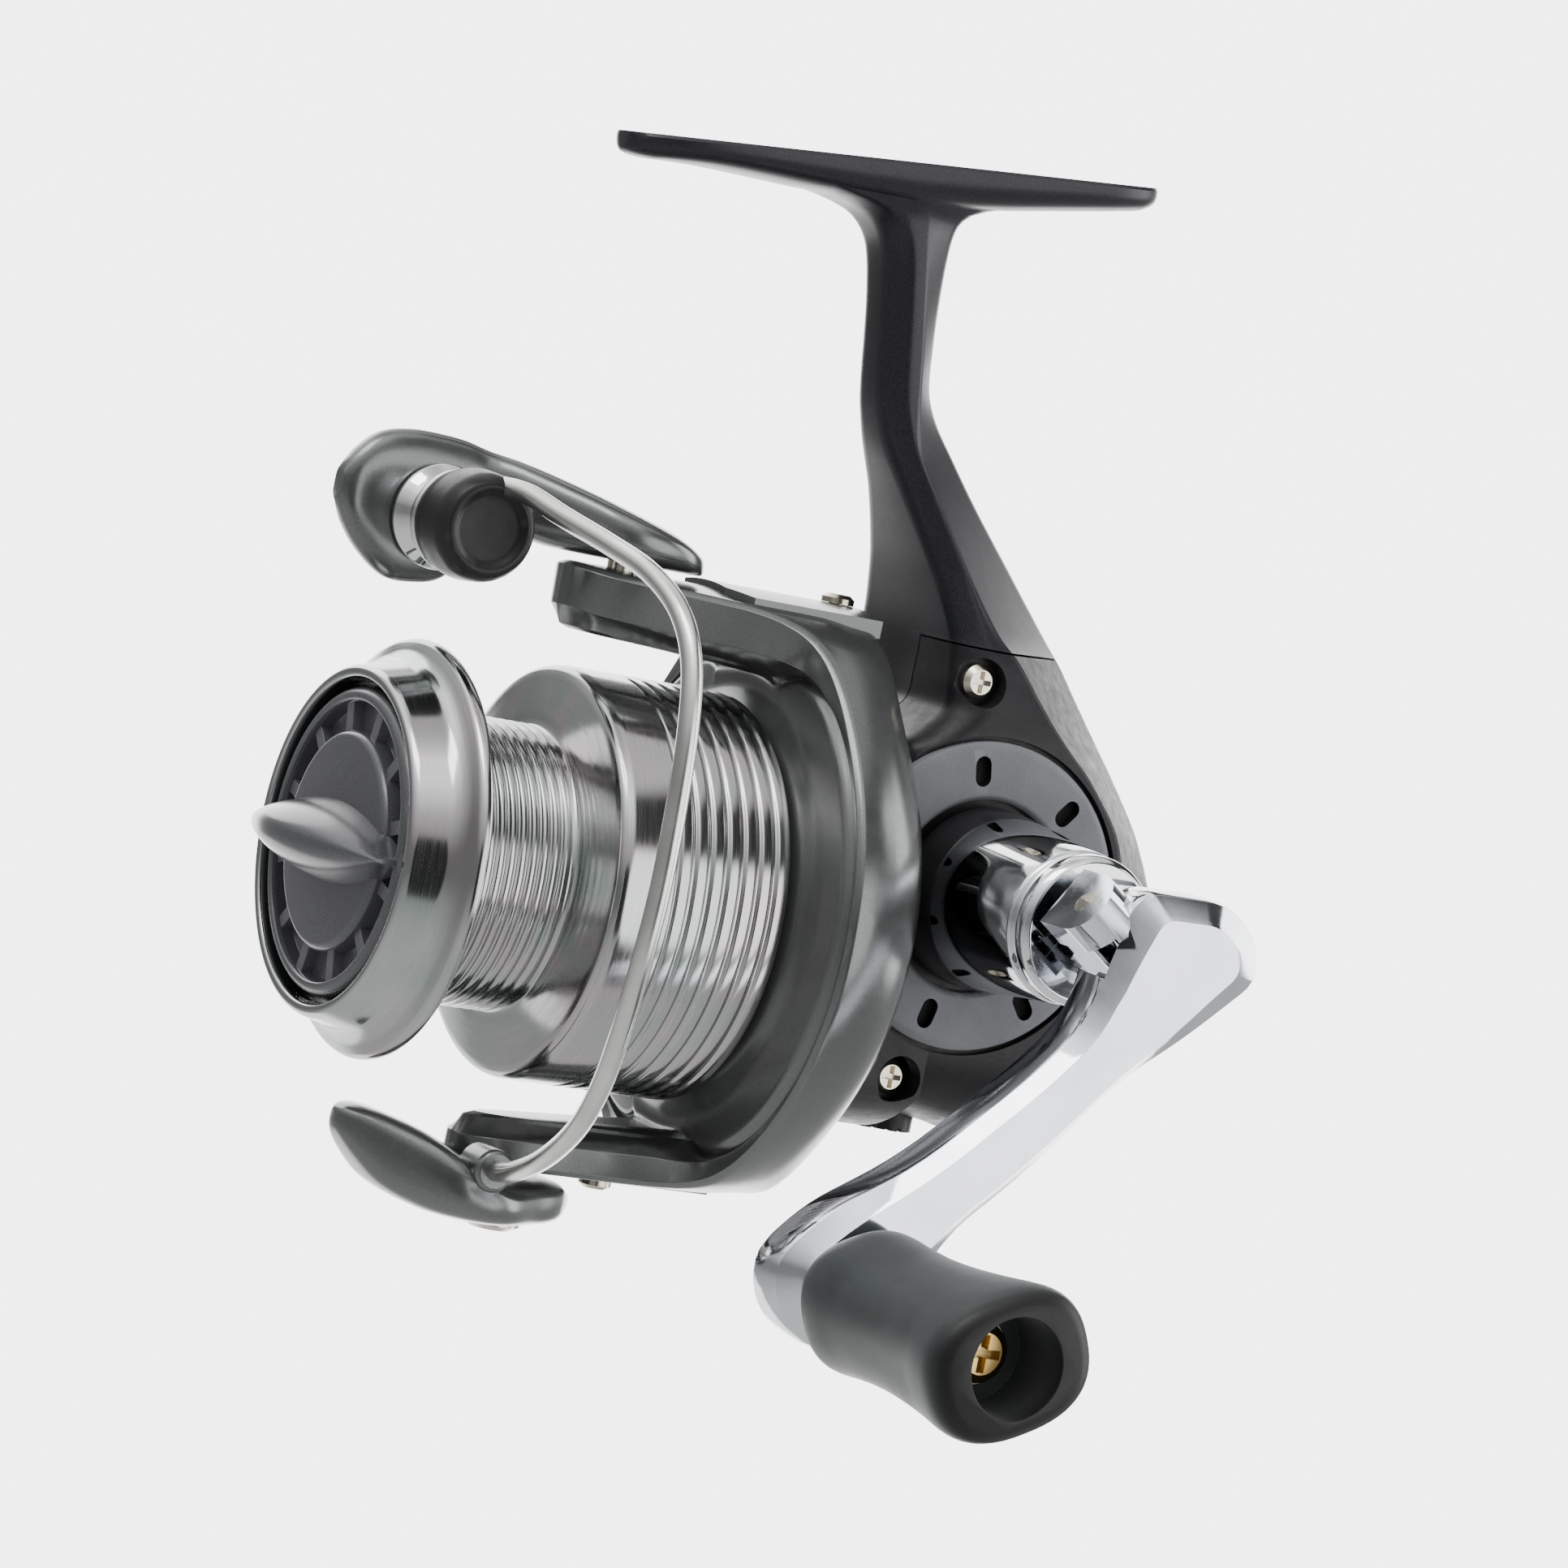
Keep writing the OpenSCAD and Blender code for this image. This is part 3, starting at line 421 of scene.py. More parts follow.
def table_value(table, at):
    """Smooth value from a table of (place, value, value, ...) rows, places rising."""
    if at <= table[0][0]:
        return table[0][1:]
    if at >= table[-1][0]:
        return table[-1][1:]
    i = max(k for k in range(len(table)) if table[k][0] <= at)
    low, high = table[i], table[i + 1]
    before, after = table[max(i - 1, 0)], table[min(i + 2, len(table) - 1)]
    gap = high[0] - low[0]
    t = (at - low[0]) / gap
    values = []
    for k in range(1, len(low)):
        m0 = (high[k] - before[k]) / (high[0] - before[0]) * gap
        m1 = (after[k] - low[k]) / (after[0] - low[0]) * gap
        values.append((2 * t ** 3 - 3 * t * t + 1) * low[k] + (t ** 3 - 2 * t * t + t) * m0
                      + (3 * t * t - 2 * t ** 3) * high[k] + (t ** 3 - t * t) * m1)
    return values


def lathe(outline, axis="x", centre=(0, 0), count=180):
    """A closed outline of (along, radius) turned about X, or about Y through centre = (x, z)."""
    points, faces = [], []
    for k in range(count):
        c, s = math.cos(2 * math.pi * k / count), math.sin(2 * math.pi * k / count)
        for along, radius in outline:
            radius = max(radius, 0.0)
            if axis == "x":
                points.append((along, radius * c, radius * s))
            else:
                points.append((centre[0] + radius * c, along, centre[1] + radius * s))
    n = len(outline)
    for k in range(count):
        here, following = k * n, (k + 1) % count * n
        for i in range(n):
            j = (i + 1) % n
            if outline[i][1] <= 1e-4 and outline[j][1] <= 1e-4:
                continue
            face = [here + i, here + j, following + j, following + i]
            if outline[i][1] <= 1e-4:
                face = [here + i, here + j, following + j]
            elif outline[j][1] <= 1e-4:
                face = [here + i, here + j, following + i]
            faces.append(face)
    return points, faces


def loft(rings, closed_ends=True):
    """A skin over rings with equal numbers of points."""
    n = len(rings[0])
    points = [p for ring in rings for p in ring]
    faces = []
    for r in range(len(rings) - 1):
        for i in range(n):
            j = (i + 1) % n
            faces.append([r * n + i, r * n + j, (r + 1) * n + j, (r + 1) * n + i])
    if closed_ends:
        faces.append(list(range(n))[::-1])
        faces.append([(len(rings) - 1) * n + i for i in range(n)])
    return points, faces


def bevel_modifier(obj, width_mm, segments=3, angle=35):
    """Rounds the sharp edges of an object."""
    modifier = obj.modifiers.new("rounded_edges", "BEVEL")
    modifier.width = width_mm * MM
    modifier.segments = segments
    modifier.limit_method = "ANGLE"
    modifier.angle_limit = math.radians(angle)
    modifier.harden_normals = True


def combine(obj, other, operation):
    """Unites an object with another one or cuts that one from it, and removes the other one."""
    modifier = obj.modifiers.new("combined", "BOOLEAN")
    modifier.object = other
    modifier.operation = operation
    modifier.solver = "EXACT"
    apply_modifiers(obj)
    bpy.data.objects.remove(other)


def cut(obj, cutters):
    """Takes (points, faces) cutters out of an object's mesh."""
    for points, faces in cutters:
        cutter = new_object("cutter", [row(p) for p in points], faces)
        finish_mesh(cutter, ROUND_ANGLE)
        combine(obj, cutter, "DIFFERENCE")


def apply_modifiers(obj):
    """Bakes an object's modifiers into its mesh."""
    graph = bpy.context.evaluated_depsgraph_get()
    mesh = bpy.data.meshes.new_from_object(obj.evaluated_get(graph))
    obj.modifiers.clear()
    obj.data = mesh


def rod(axis, radius, low, high, centre, count=48):
    """A plain round cutter along X, Y or Z through centre, the other two coordinates."""
    places = {"x": (2, 0, 1), "y": (0, 2, 1), "z": (0, 1, 2)}[axis]
    points = []
    for along in (low, high):
        for k in range(count):
            a = centre[0] + radius * math.cos(2 * math.pi * k / count)
            b = centre[1] + radius * math.sin(2 * math.pi * k / count)
            points.append(tuple((a, b, along)[i] for i in places))
    return loft([points[:count], points[count:]])


def mirrored(half):
    """A closed ring from points with y >= 0 that run from the front middle to the rear middle."""
    return half + [(p[0], -p[1], p[2]) for p in half[-2:0:-1]]


def places_between(low, high, count):
    return [low + (high - low) * k / (count - 1) for k in range(count)]


def box_part(low, high):
    """A plain box, for cutters."""
    ring = [(low[0], low[1]), (high[0], low[1]), (high[0], high[1]), (low[0], high[1])]
    return loft([[(x, y, z) for x, y in ring] for z in (low[2], high[2])])


def slab(outline, low, high):
    """A slab with an (x, z) outline between two y planes, for cutters."""
    return loft([[(x, y, z) for x, z in outline] for y in (low, high)])


def joined(name, *parts):
    """A temporary object holding the boolean union of parts, in reel coordinates."""
    objects = []
    for points, faces in parts:
        objects.append(new_object(name, [row(p) for p in points], faces))
        finish_mesh(objects[-1], ROUND_ANGLE)
    base = objects[0]
    for other in objects[1:]:
        combine(base, other, "UNION")
    return base


def adopt(obj, name, body, slot, replaces, sharp=ROUND_ANGLE):
    """Names a finished object, shades it, and puts it on its body."""
    obj.name = name
    obj.data.name = name
    obj.data.materials.clear()
    obj.data.materials.append(MAT[slot])
    finish_mesh(obj, sharp)
    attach(obj, body)
    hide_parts(*replaces)
    return obj


# --- body: stem, gearbox and foot ---

SIDE_Y = 14.5
CAP_R = 16.9
# Height, front x, front y, crease x, crease y, rear x, rear y, tilt of the section
BODY_ROWS = [
    (-18.6, 2.0, 5.0, -4.6, 4.6, -10.0, 2.6, 0.16), (-17.8, 7.0, 8.6, -5.2, 8.0, -13.4, 3.4, 0.15),
    (-16.4, 11.0, 11.6, -6.6, 11.0, -17.0, 4.0, 0.13), (-14.0, 12.0, 13.7, -9.0, 13.4, -21.5, 4.6, 0.09),
    (-11.0, 12.0, 14.5, -12.0, 14.4, -25.8, 5.0, 0.05), (-6.0, 12.0, 14.5, -15.2, 14.5, -29.4, 5.2, 0.01),
    (0.0, 12.0, 14.5, -17.4, 14.5, -29.8, 5.2, 0.0), (6.0, 12.0, 14.5, -18.0, 14.5, -29.4, 5.0, 0.0),
    (14.0, 12.0, 14.5, -16.2, 14.5, -25.6, 4.6, 0.0), (20.0, 11.6, 14.5, -11.2, 14.5, -21.3, 4.0, 0.0),
    (22.9, 8.6, 14.5, -7.7, 14.5, -19.0, 3.6, 0.0), (25.2, 6.6, 14.3, -5.3, 14.2, -17.2, 3.2, 0.0),
    (28.0, 6.4, 13.8, -2.8, 13.7, -15.0, 2.8, 0.0), (31.3, 6.4, 13.0, -0.1, 12.9, -12.4, 2.4, 0.0),
    (33.2, 6.7, 12.3, 2.0, 12.1, -10.6, 2.2, 0.0), (36.0, 7.6, 11.1, 3.9, 10.8, -8.0, 2.0, 0.0),
    (40.1, 9.3, 9.2, 6.1, 8.9, -4.2, 1.8, 0.0), (46.3, 12.5, 6.6, 9.2, 6.2, 1.6, 1.6, 0.0),
    (50.9, 15.1, 5.2, 11.8, 4.9, 5.6, 1.5, 0.0), (54.5, 16.5, 4.6, 12.7, 4.4, 8.6, 1.5, 0.0),
    (57.5, 17.2, 4.3, 13.1, 4.2, 10.1, 1.5, 0.0), (62.2, 17.9, 4.2, 13.8, 4.1, 10.8, 1.7, 0.0),
    (66.5, 18.6, 4.2, 14.6, 4.1, 11.2, 1.9, 0.0), (71.0, 19.7, 4.3, 15.6, 4.2, 11.4, 2.1, -0.05),
    (73.2, 20.9, 4.4, 16.2, 4.3, 11.3, 2.3, -0.105), (74.9, 22.9, 4.6, 16.6, 4.5, 10.7, 2.6, -0.105),
    (76.1, 26.1, 5.0, 17.0, 4.9, 8.8, 3.0, -0.105), (77.0, 30.0, 5.4, 17.4, 5.3, 4.5, 3.6, -0.105),
    (77.6, 33.0, 5.6, 17.8, 5.5, 0.6, 4.0, -0.105)]


def body_section(height, values):
    """Section across the stem or gearbox: rounded front, flat side, bevel from the crease to the rear."""
    front_x, front_y, crease_x, crease_y, rear_x, rear_y, tilt = values
    pivot = 20 if height > 40 else 3
    edge = min(2.6, front_y * 0.55)
    half = rounded([(front_x, 0, 0), (front_x, front_y - edge * 0.8, edge), (front_x - edge, front_y, edge),
                    (crease_x, crease_y, 0.5), (rear_x + 0.3, rear_y, rear_y * 0.9), (rear_x - 0.4, 0, 0)],
                   closed=False)
    return mirrored([(p.x, p.y, height + tilt * (p.x - pivot)) for p in half])


def body_parts():
    heights = places_between(BODY_ROWS[0][0], BODY_ROWS[-1][0], 150)
    tower = loft([body_section(height, table_value(BODY_ROWS, height)) for height in heights])
    nose = [flat_sided(x, 21.6 - shrink, SIDE_Y - shrink)
            for x, shrink in ((2, 0.0), (17.0, 0.0), (17.6, 0.2), (17.9, 0.5), (18.0, 0.9))]
    return tower, loft(nose)


def flat_sided(x, radius, half_y):
    """Ring round the spool axis, cut flat on both sides."""
    low = math.degrees(math.acos(half_y / radius))
    arc = [math.radians(low + (180 - 2 * low) * k / 30) for k in range(31)]
    upper = [(x, radius * math.cos(a), radius * math.sin(a)) for a in arc]
    return upper + [(x, p[1], -p[2]) for p in upper[::-1]]


def foot_part():
    """Foot plate: flat seat on top, rounded underside, thin rounded tips; made flat and tilted."""
    half_len, half_wide = 32.2, 6.8
    # Distance along the foot, depth
    depths = [(-32.2, 2.3), (-29.9, 2.7), (-18.8, 3.7), (-10, 4.4), (0, 4.8), (10, 4.1), (22.9, 2.9),
              (32.2, 2.6)]
    tilt = math.atan2(SEAT_AXIS.x, SEAT_AXIS.z)
    c, s = math.cos(tilt), math.sin(tilt)
    rings = []
    for k in range(1, 90):
        a = math.pi * k / 90
        ca, sa = math.cos(a), math.sin(a)
        u = -half_len * math.copysign(abs(ca) ** 0.45, ca)
        wide = half_wide * (1 - 0.22 * ca * ca) * sa ** 0.55
        deep = table_value(depths, u)[0] * min(1, 0.55 + sa ** 0.5 * 0.6)
        ring = []
        for j in range(21):
            b = math.pi * j / 20
            v = wide * math.copysign(abs(math.cos(b)) ** 0.6, math.cos(b))
            w = -0.35 - (deep - 0.35) * math.sin(b) ** 0.75
            ring.append((v, w))
        ring += [(-wide + 0.3 * min(1, wide), 0), (0, 0), (wide - 0.3 * min(1, wide), 0)]
        rings.append([(SEAT.x + u * c + w * s, v, SEAT.z - u * s + w * c) for v, w in ring])
    return loft(rings)


# Outlines of the hollow inside, in x and z: nearest the middle, further out, and out to the side walls
CAVITY = [(9, -11.6), (9, 21), (0, 25), (-8, 26), (-16, 19.6), (-24.6, 8), (-27, 0), (-26, -6),
          (-21.4, -10.6), (-19, -13.4), (-5, -13.4), (-1, -11.6)]
CAVITY_MIDDLE = [(8.9, -10.2), (8.9, 20.9), (0, 24.8), (-8, 25.8), (-16, 19.4), (-18, 16.6), (-18, -10.2)]
CAVITY_FRONT = [(8.8, -11.4), (8.8, 20.8), (0, 24.2), (-5.2, 24.2), (-10.8, 18.5), (-10.8, -12.6),
                (-5.2, -12.6), (-1.2, -11.4)]
HOLLOWS = [(CAVITY, 5.0), (CAVITY_MIDDLE, 8.5), (CAVITY_FRONT, 12.2)]
GEAR_AT = (-12.5, -2.6)
LEVER_AT = (-3, 0)
COVER_SCREWS = [(3.7, 28.4), (4.9, -14.6)]
SEAM_Z = 31.9
PARTING_Y = 3.0
SEAM_GAP = 0.11

tower, nose = body_parts()
bores = [slab(inside, -half, half) for inside, half in HOLLOWS]
# Nose, shaft, drive gear, anti-reverse lever's head and stem, oscillation gear
bores += [loft([flat_sided(x, 19.2, 12.2) for x in (1, 15.4)]), rod("x", 7.1, 14, 19, (0, 0), 96),
          rod("y", 4.3, -20, 20, (0, DRIVE_Z)), rod("z", 5.2, -30, -18.45, LEVER_AT),
          rod("z", 2.1, -19, -13, LEVER_AT), rod("y", 10.3, 5.4, 9.15, GEAR_AT, 96)]
housing = joined("housing", tower, nose, foot_part())
cut(housing, [box_part((-60, PARTING_Y - SEAM_GAP, -60), (60, 40, SEAM_Z + SEAM_GAP)), *bores])
adopt(housing, "Body", "frame", "body_paint", ["body_housing"])
bevel_modifier(housing, 0.18, 2)

cover = joined("cover", tower, nose)
cut(cover, [box_part((-60, -60, -60), (60, PARTING_Y + SEAM_GAP, 90)),
            box_part((-60, -60, SEAM_Z - SEAM_GAP), (60, 60, 120)), *bores,
            rod("y", CAP_R + 0.3, SIDE_Y - 0.9, 20, (0, DRIVE_Z), 128),
            *[rod("y", 2.6, 11.4, 20, at) for at in COVER_SCREWS]])
adopt(cover, "Side_cover", "frame", "cover_black", ["side_cover"])
bevel_modifier(cover, 0.18, 2)

CAP_SLOTS = 7
SLOT_R = 0.95
# Inner and outer end of a slot, from the cap's middle
SLOT_ENDS = (12.8, 14.2)
cap_outline = rounded([(SIDE_Y - 0.8, 10.4, 0), (SIDE_Y - 0.8, CAP_R - 0.25, 0),
                       (SIDE_Y + 0.15, CAP_R - 0.3, 0.2), (SIDE_Y + 0.5, CAP_R - 0.9, 0.4),
                       (SIDE_Y + 0.5, 10.8, 0.3), (SIDE_Y + 0.1, 10.4, 0.1)], 3)
cap = joined("cap", lathe(cap_outline, "y", (0, DRIVE_Z), 160))
pills = []
for k in range(CAP_SLOTS):
    turned = math.radians(79 + 360 / CAP_SLOTS * k)
    out_way = Vector((math.cos(turned), math.sin(turned)))
    side_way = Vector((-math.sin(turned), math.cos(turned)))
    pill = []
    for end, start in ((SLOT_ENDS[1], -90), (SLOT_ENDS[0], 90)):
        for step in range(9):
            a = math.radians(start + 22.5 * step)
            at = out_way * (end + SLOT_R * math.cos(a)) + side_way * SLOT_R * math.sin(a)
            pill.append((at.x, DRIVE_Z + at.y))
    pills.append(slab(pill, SIDE_Y - 0.45, SIDE_Y + 2))
cut(cap, pills)
adopt(cap, "Drive_cap", "frame", "cap_grey", ["drive_cap"])
cap.data.materials.append(MAT["slot_painted_shade"])
# Painted shade: the slots' walls and floors, which lie below the cap's top, are coloured near black
for face in cap.data.polygons:
    spot = (face.center - row((0, 0, DRIVE_Z))) / MM
    across = math.hypot(spot.x, spot.z)
    if 11.5 < across < 15.4 and SIDE_Y - 0.7 < spot.y < SIDE_Y + 0.45:
        face.material_index = 1

# --- rotor ---

BAND_R = 29.4
BAND_FRONT = 23.2
DRUM_R = 19.5
BORE_R = 3.42
# Front edge of the band and arm by angle from the arm's middle
ARM_EDGE = [(0, 48.6), (4, 48.3), (8, 47.0), (10.5, 44.6), (12.0, 41.5), (13.4, 36.5), (15.2, 31.0),
            (18.4, 27.0), (24, 24.6), (34, 23.5), (50, BAND_FRONT), (90, BAND_FRONT)]
# Angle of an arm's middle, its width against ARM_EDGE, outer radius
ARMS = [(90, 1.0, 32.8), (-90, 0.84, 31.2)]


def arm_values(angle):
    """At an angle from the Y axis: front edge, edges of the inner chamfer and outer rounding, outer radius,
    and how far the arm has risen from the band, from 0 to 1."""
    for middle, wide, radius in ARMS:
        away = abs((angle - middle + 180) % 360 - 180)
        if away <= 90:
            edges = [table_value(ARM_EDGE, min(90, (away + more) / wide))[0] for more in (0, 4.2, 1.1)]
            rise = math.exp(-(max(0, away - 12) / 24) ** 2)
            return *edges, BAND_R + (radius - BAND_R) * rise, rise


def rotor_section(angle):
    """Closed (x, radius) outline of the rotor's wall at one angle."""
    edge, chamfer_edge, outer_edge, outer, rise = arm_values(angle)
    chamfer = min(1, max(0.0, edge - BAND_FRONT) / 5)
    inner = 28.35 - chamfer * 2.6
    corners = [(38, BORE_R, 0), (38, DRUM_R - 0.6, 0.6), (37.4, DRUM_R, 0.6), (28, DRUM_R + 0.1, 1.0),
               (26.2, DRUM_R + 0.6, 0.6), (24.6, 23.2, 0.6), (23.8 + chamfer * 0.8, inner - 0.9, 0.6),
               (max(23.0, chamfer_edge - 1.6) - 0.3 * (1 - chamfer), inner, 0.12),
               (max(23.0, chamfer_edge - 0.4 * chamfer), inner + 0.15 + 0.25 * chamfer, 0.1),
               (edge, inner + 0.3 + 2.1 * chamfer, 0.1), (edge, outer - 0.45, 0.1),
               (max(22.6, outer_edge - 0.6), outer, 0.5), (20.6, outer - 0.05 - 0.05 * rise, 2.0),
               (17, outer - 0.8 + 0.2 * rise, 2.0), (14.2, 27 + (outer - 27.8) * rise, 1.0),
               (13, 25.4 + 2.4 * rise, 0.5), (13, 24.5, 0.3), (18, 24.6, 1.0), (21.4, 23.3, 1.0),
               (24.6, 17.9, 0.8), (35.2, 17.7, 0.6), (35.2, 11, 0.6), (24, 9.5, 0.3), (24, BORE_R, 0)]
    return rounded(corners, steps=3)


def rotor_part():
    angles = []
    at = 0.0
    while at < 360:
        angles.append(at)
        near = min(abs((at - middle + 180) % 360 - 180) for middle, _, _ in ARMS)
        at += 0.5 if near < 26 else 2.0
    rings = []
    for at in angles:
        c, s = math.cos(math.radians(at)), math.sin(math.radians(at))
        rings.append([(p.x, p.y * c, p.y * s) for p in rotor_section(at)])
    rings.append(rings[0])
    return loft(rings, closed_ends=False)


rotor = joined("rotor_shell", rotor_part())
# Pockets for the two arm covers
cut(rotor, [box_part((12, -7.25, 30.6), (31.9, 7.25, 40)), box_part((19.8, -5.7, -40), (33.2, 5.7, -28.0))])
adopt(rotor, "Rotor", "rotor", "rotor_graphite", ["rotor"], sharp=42)

# --- spool and drag knob ---

SKIRT_R, SKIRT_X, RIDGES, RIDGE_PITCH, RIDGE_H = 21.9, 26.75, 7, 1.9, 0.22
SPOOL_R, SPOOL_X, GROOVES, GROOVE_PITCH, GROOVE_H = 15.2, 48.7, 9, 1.24, 0.3


def spool_outline():
    """Closed (x, radius) outline of the spool, with rounded ridges on the skirt and grooves on the drum."""
    ridges = []
    for k in range(RIDGES):
        x = SKIRT_X + RIDGE_PITCH * k
        ridges += [(x + 0.12, SKIRT_R - RIDGE_H, 0.12), (x + 0.34, SKIRT_R, 0.2), (x + 1.46, SKIRT_R, 0.2),
                   (x + 1.68, SKIRT_R - RIDGE_H, 0.12)]
    grooves = []
    for k in range(GROOVES):
        x = SPOOL_X + GROOVE_PITCH * k
        grooves += [(x + 0.1, SPOOL_R - GROOVE_H, 0.12), (x + 0.34, SPOOL_R, 0.18), (x + 0.88, SPOOL_R, 0.18),
                    (x + 1.12, SPOOL_R - GROOVE_H, 0.12)]
    front = [(60.0, SPOOL_R - 0.2, 0.3), (60.35, SPOOL_R + 0.9, 0.5), (61.2, 21.2, 0.5), (61.5, 21.85, 0.3),
             (62.2, 22.0, 0.4), (62.9, 21.75, 0.4), (63.5, 20.2, 0.6), (64.5, 19.2, 0.8), (68.2, 18.35, 0.3),
             (68.75, 17.9, 0.3), (68.7, 17.1, 0.25), (68.2, 16.95, 0.2), (62.45, 16.85, 0.4), (62.4, 13.2, 0)]
    back = [(61.6, 13.2, 0), (52, 13.2, 0), (52, 5, 0), (50.6, 5, 0), (50.6, 2.1, 0), (45, 2.1, 0),
            (45, 19.9, 0), (44, 20.6, 0.5), (27, 20.7, 0.3), (26.6, 21.1, 0.2), (26.65, 21.5, 0.15)]
    rear_lip = [(40.2, SKIRT_R, 0.1), (45.5, SKIRT_R, 0.5), (46.4, SKIRT_R - 0.35, 0.5),
                (46.7, SKIRT_R - 1.1, 0.4), (47.8, SPOOL_R + 1.2, 0.5), (48.1, SPOOL_R - 0.2, 0.5)]
    return rounded(ridges + rear_lip + grooves + front + back, steps=3)


piece("Spool", [lathe(spool_outline(), count=256)], "spool", "spool_chrome", ["spool"], sharp=50)

DRAG_R = 16.1
DRAG_RIBS = 12
knob_outline = rounded([(62.7, 0, 0), (62.7, 15.6, 0.2), (63.2, DRAG_R, 0.3), (67.8, DRAG_R, 0.6),
                        (68.4, 15.5, 0.4), (68.45, 14.75, 0.25), (67.9, 14.5, 0.15), (66.5, 14.4, 0.2),
                        (66.5, 11.7, 0.2), (68.3, 11.5, 0.3), (68.75, 11.0, 0.4), (68.95, 0, 0)], steps=3)
ribs = []
for k in range(DRAG_RIBS):
    a = math.radians(30 * k + 15)
    c, s = math.cos(a), math.sin(a)
    rib = ((11.4, -0.75), (14.6, -0.75), (14.6, 0.75), (11.4, 0.75))
    corners = [(x, r, t) for x in (66.3, 67.75) for r, t in rib]
    points = [(x, r * c - t * s, r * s + t * c) for x, r, t in corners]
    ribs.append(loft([points[:4], points[4:]]))
disc = piece("Drag_knob_disc", [lathe(knob_outline, count=160), *ribs], "drag_knob", "drag_grey",
             ["drag_knob"])
bevel_modifier(disc, 0.1, 2)


def blade_part():
    """Finger blade: lens-shaped in plan, with a rounded crest that falls in an arc to the knob's rim."""
    rings = []
    for k in range(1, 60):
        y = -15.8 + 31.6 * k / 60
        top = 47.2 + math.sqrt(28 ** 2 - y * y)
        base = math.sqrt(31 ** 2 - y * y) - 26.6
        ring = []
        for j in range(25):
            a = math.pi * j / 24
            across = math.copysign(abs(math.cos(a)) ** 0.75, math.cos(a))
            lift = math.sin(a) ** 0.6
            width = base * (1 - 0.42 * lift)
            ring.append((68.2 + max(0.1, top - 68.2) * lift, y, across * width))
        ring += [(67.5, y, -base * 0.98), (67.5, y, base * 0.98)]
        rings.append(ring)
    return loft(rings)


piece("Drag_knob_blade", [blade_part()], "drag_knob", "drag_grey")

# --- bail ---


def flat_oval(middle, along_u, along_v, half_u, half_v, power=2.4, count=32):
    """A superellipse ring about a point, spanned by two directions."""
    ring = []
    for k in range(count):
        a = 2 * math.pi * k / count
        cu = math.copysign(abs(math.cos(a)) ** (2 / power), math.cos(a))
        sv = math.copysign(abs(math.sin(a)) ** (2 / power), math.sin(a))
        ring.append(tuple(Vector(middle) + Vector(along_u) * half_u * cu + Vector(along_v) * half_v * sv))
    return ring


PIN_RECESS_R = 3.45
WIRE_R = 1.1
# x and z of the wire's lower end
WIRE_END = (47.9, -30.4)
# x, middle y, half width, low z, high z
BAIL_ROWS = [(33.2, 0.2, 1.6, 33.6, 34.9), (35.0, 0.1, 4.4, 33.55, 36.1), (38.0, 0.0, 6.0, 33.55, 37.5),
             (42.0, -0.2, 6.6, 33.55, 38.7), (46.0, -0.9, 6.2, 33.55, 39.8), (50.0, -2.6, 4.9, 33.6, 40.9),
             (54.0, -4.4, 3.5, 33.9, 41.8), (57.0, -5.2, 2.35, 31.4, 42.2), (60.0, -5.25, 2.2, 28.2, 42.8),
             (63.0, -5.2, 2.1, 27.3, 43.0), (66.5, -5.1, 2.05, 27.4, 42.9), (70.0, -4.9, 1.9, 29.6, 42.0),
             (72.4, -4.7, 1.6, 32.2, 39.8), (73.6, -4.6, 1.0, 34.5, 37.8)]


def strip_part(rows, count, power=2.8):
    """A skin of superellipse sections along X from (x, middle y, half width, low z, high z) rows."""
    rings = []
    for x in places_between(rows[0][0], rows[-1][0], count):
        y, half, low, high = table_value(rows, x)
        rings.append(flat_oval((x, y, (low + high) / 2), (0, 1, 0), (0, 0, 1), half, (high - low) / 2, power))
    return loft(rings)


arm = joined("bail_arm_shell", strip_part(BAIL_ROWS, 70))
cut(arm, [rod("z", PIN_RECESS_R, 36.5, 50, (PIVOT_X, 0))])
adopt(arm, "Bail_arm", "bail", "rotor_graphite", ["bail_arm"], sharp=45)
bevel_modifier(arm, 0.15, 2, 50)

HOLDER_ROWS = [(34.2, 0.0, 1.5, -35.0, -33.0), (36.0, -0.1, 4.0, -36.1, -31.95),
               (40, 0.3, 6.2, -36.6, -31.85), (45, 1.8, 7.8, -36.7, -31.8), (50, 2.2, 7.8, -36.5, -29.6),
               (54.0, 2.4, 6.2, -35.8, -27.9), (58.0, 1.8, 4.6, -34.2, -26.8), (60.6, 1.4, 3.4, -32.0, -26.4),
               (62.2, 1.3, 2.2, -30.2, -26.7), (62.8, 1.3, 1.2, -29.2, -27.3)]
collar = rounded([(6.2, 0, 0), (6.2, 2.3, 0), (10.1, 2.3, 0.4), (10.5, 1.9, 0.2), (10.5, 0, 0)], 3)
holder = joined("bail_holder_shell", strip_part(HOLDER_ROWS, 60, 3.4), lathe(collar, "y", WIRE_END, 48))
# Recess for the pivot pin, and room for the rotor's arm as the bail swings
cut(holder, [rod("z", PIN_RECESS_R, -40, -36.2, (PIVOT_X, 0)), rod("z", 7.4, -31.75, -20, (PIVOT_X, 0), 96),
             box_part((36, -12, -31.75), (53, -1.5, -20))])
adopt(holder, "Bail_holder", "bail", "rotor_graphite", ["bail_holder"], sharp=45)
bevel_modifier(holder, 0.15, 2, 50)

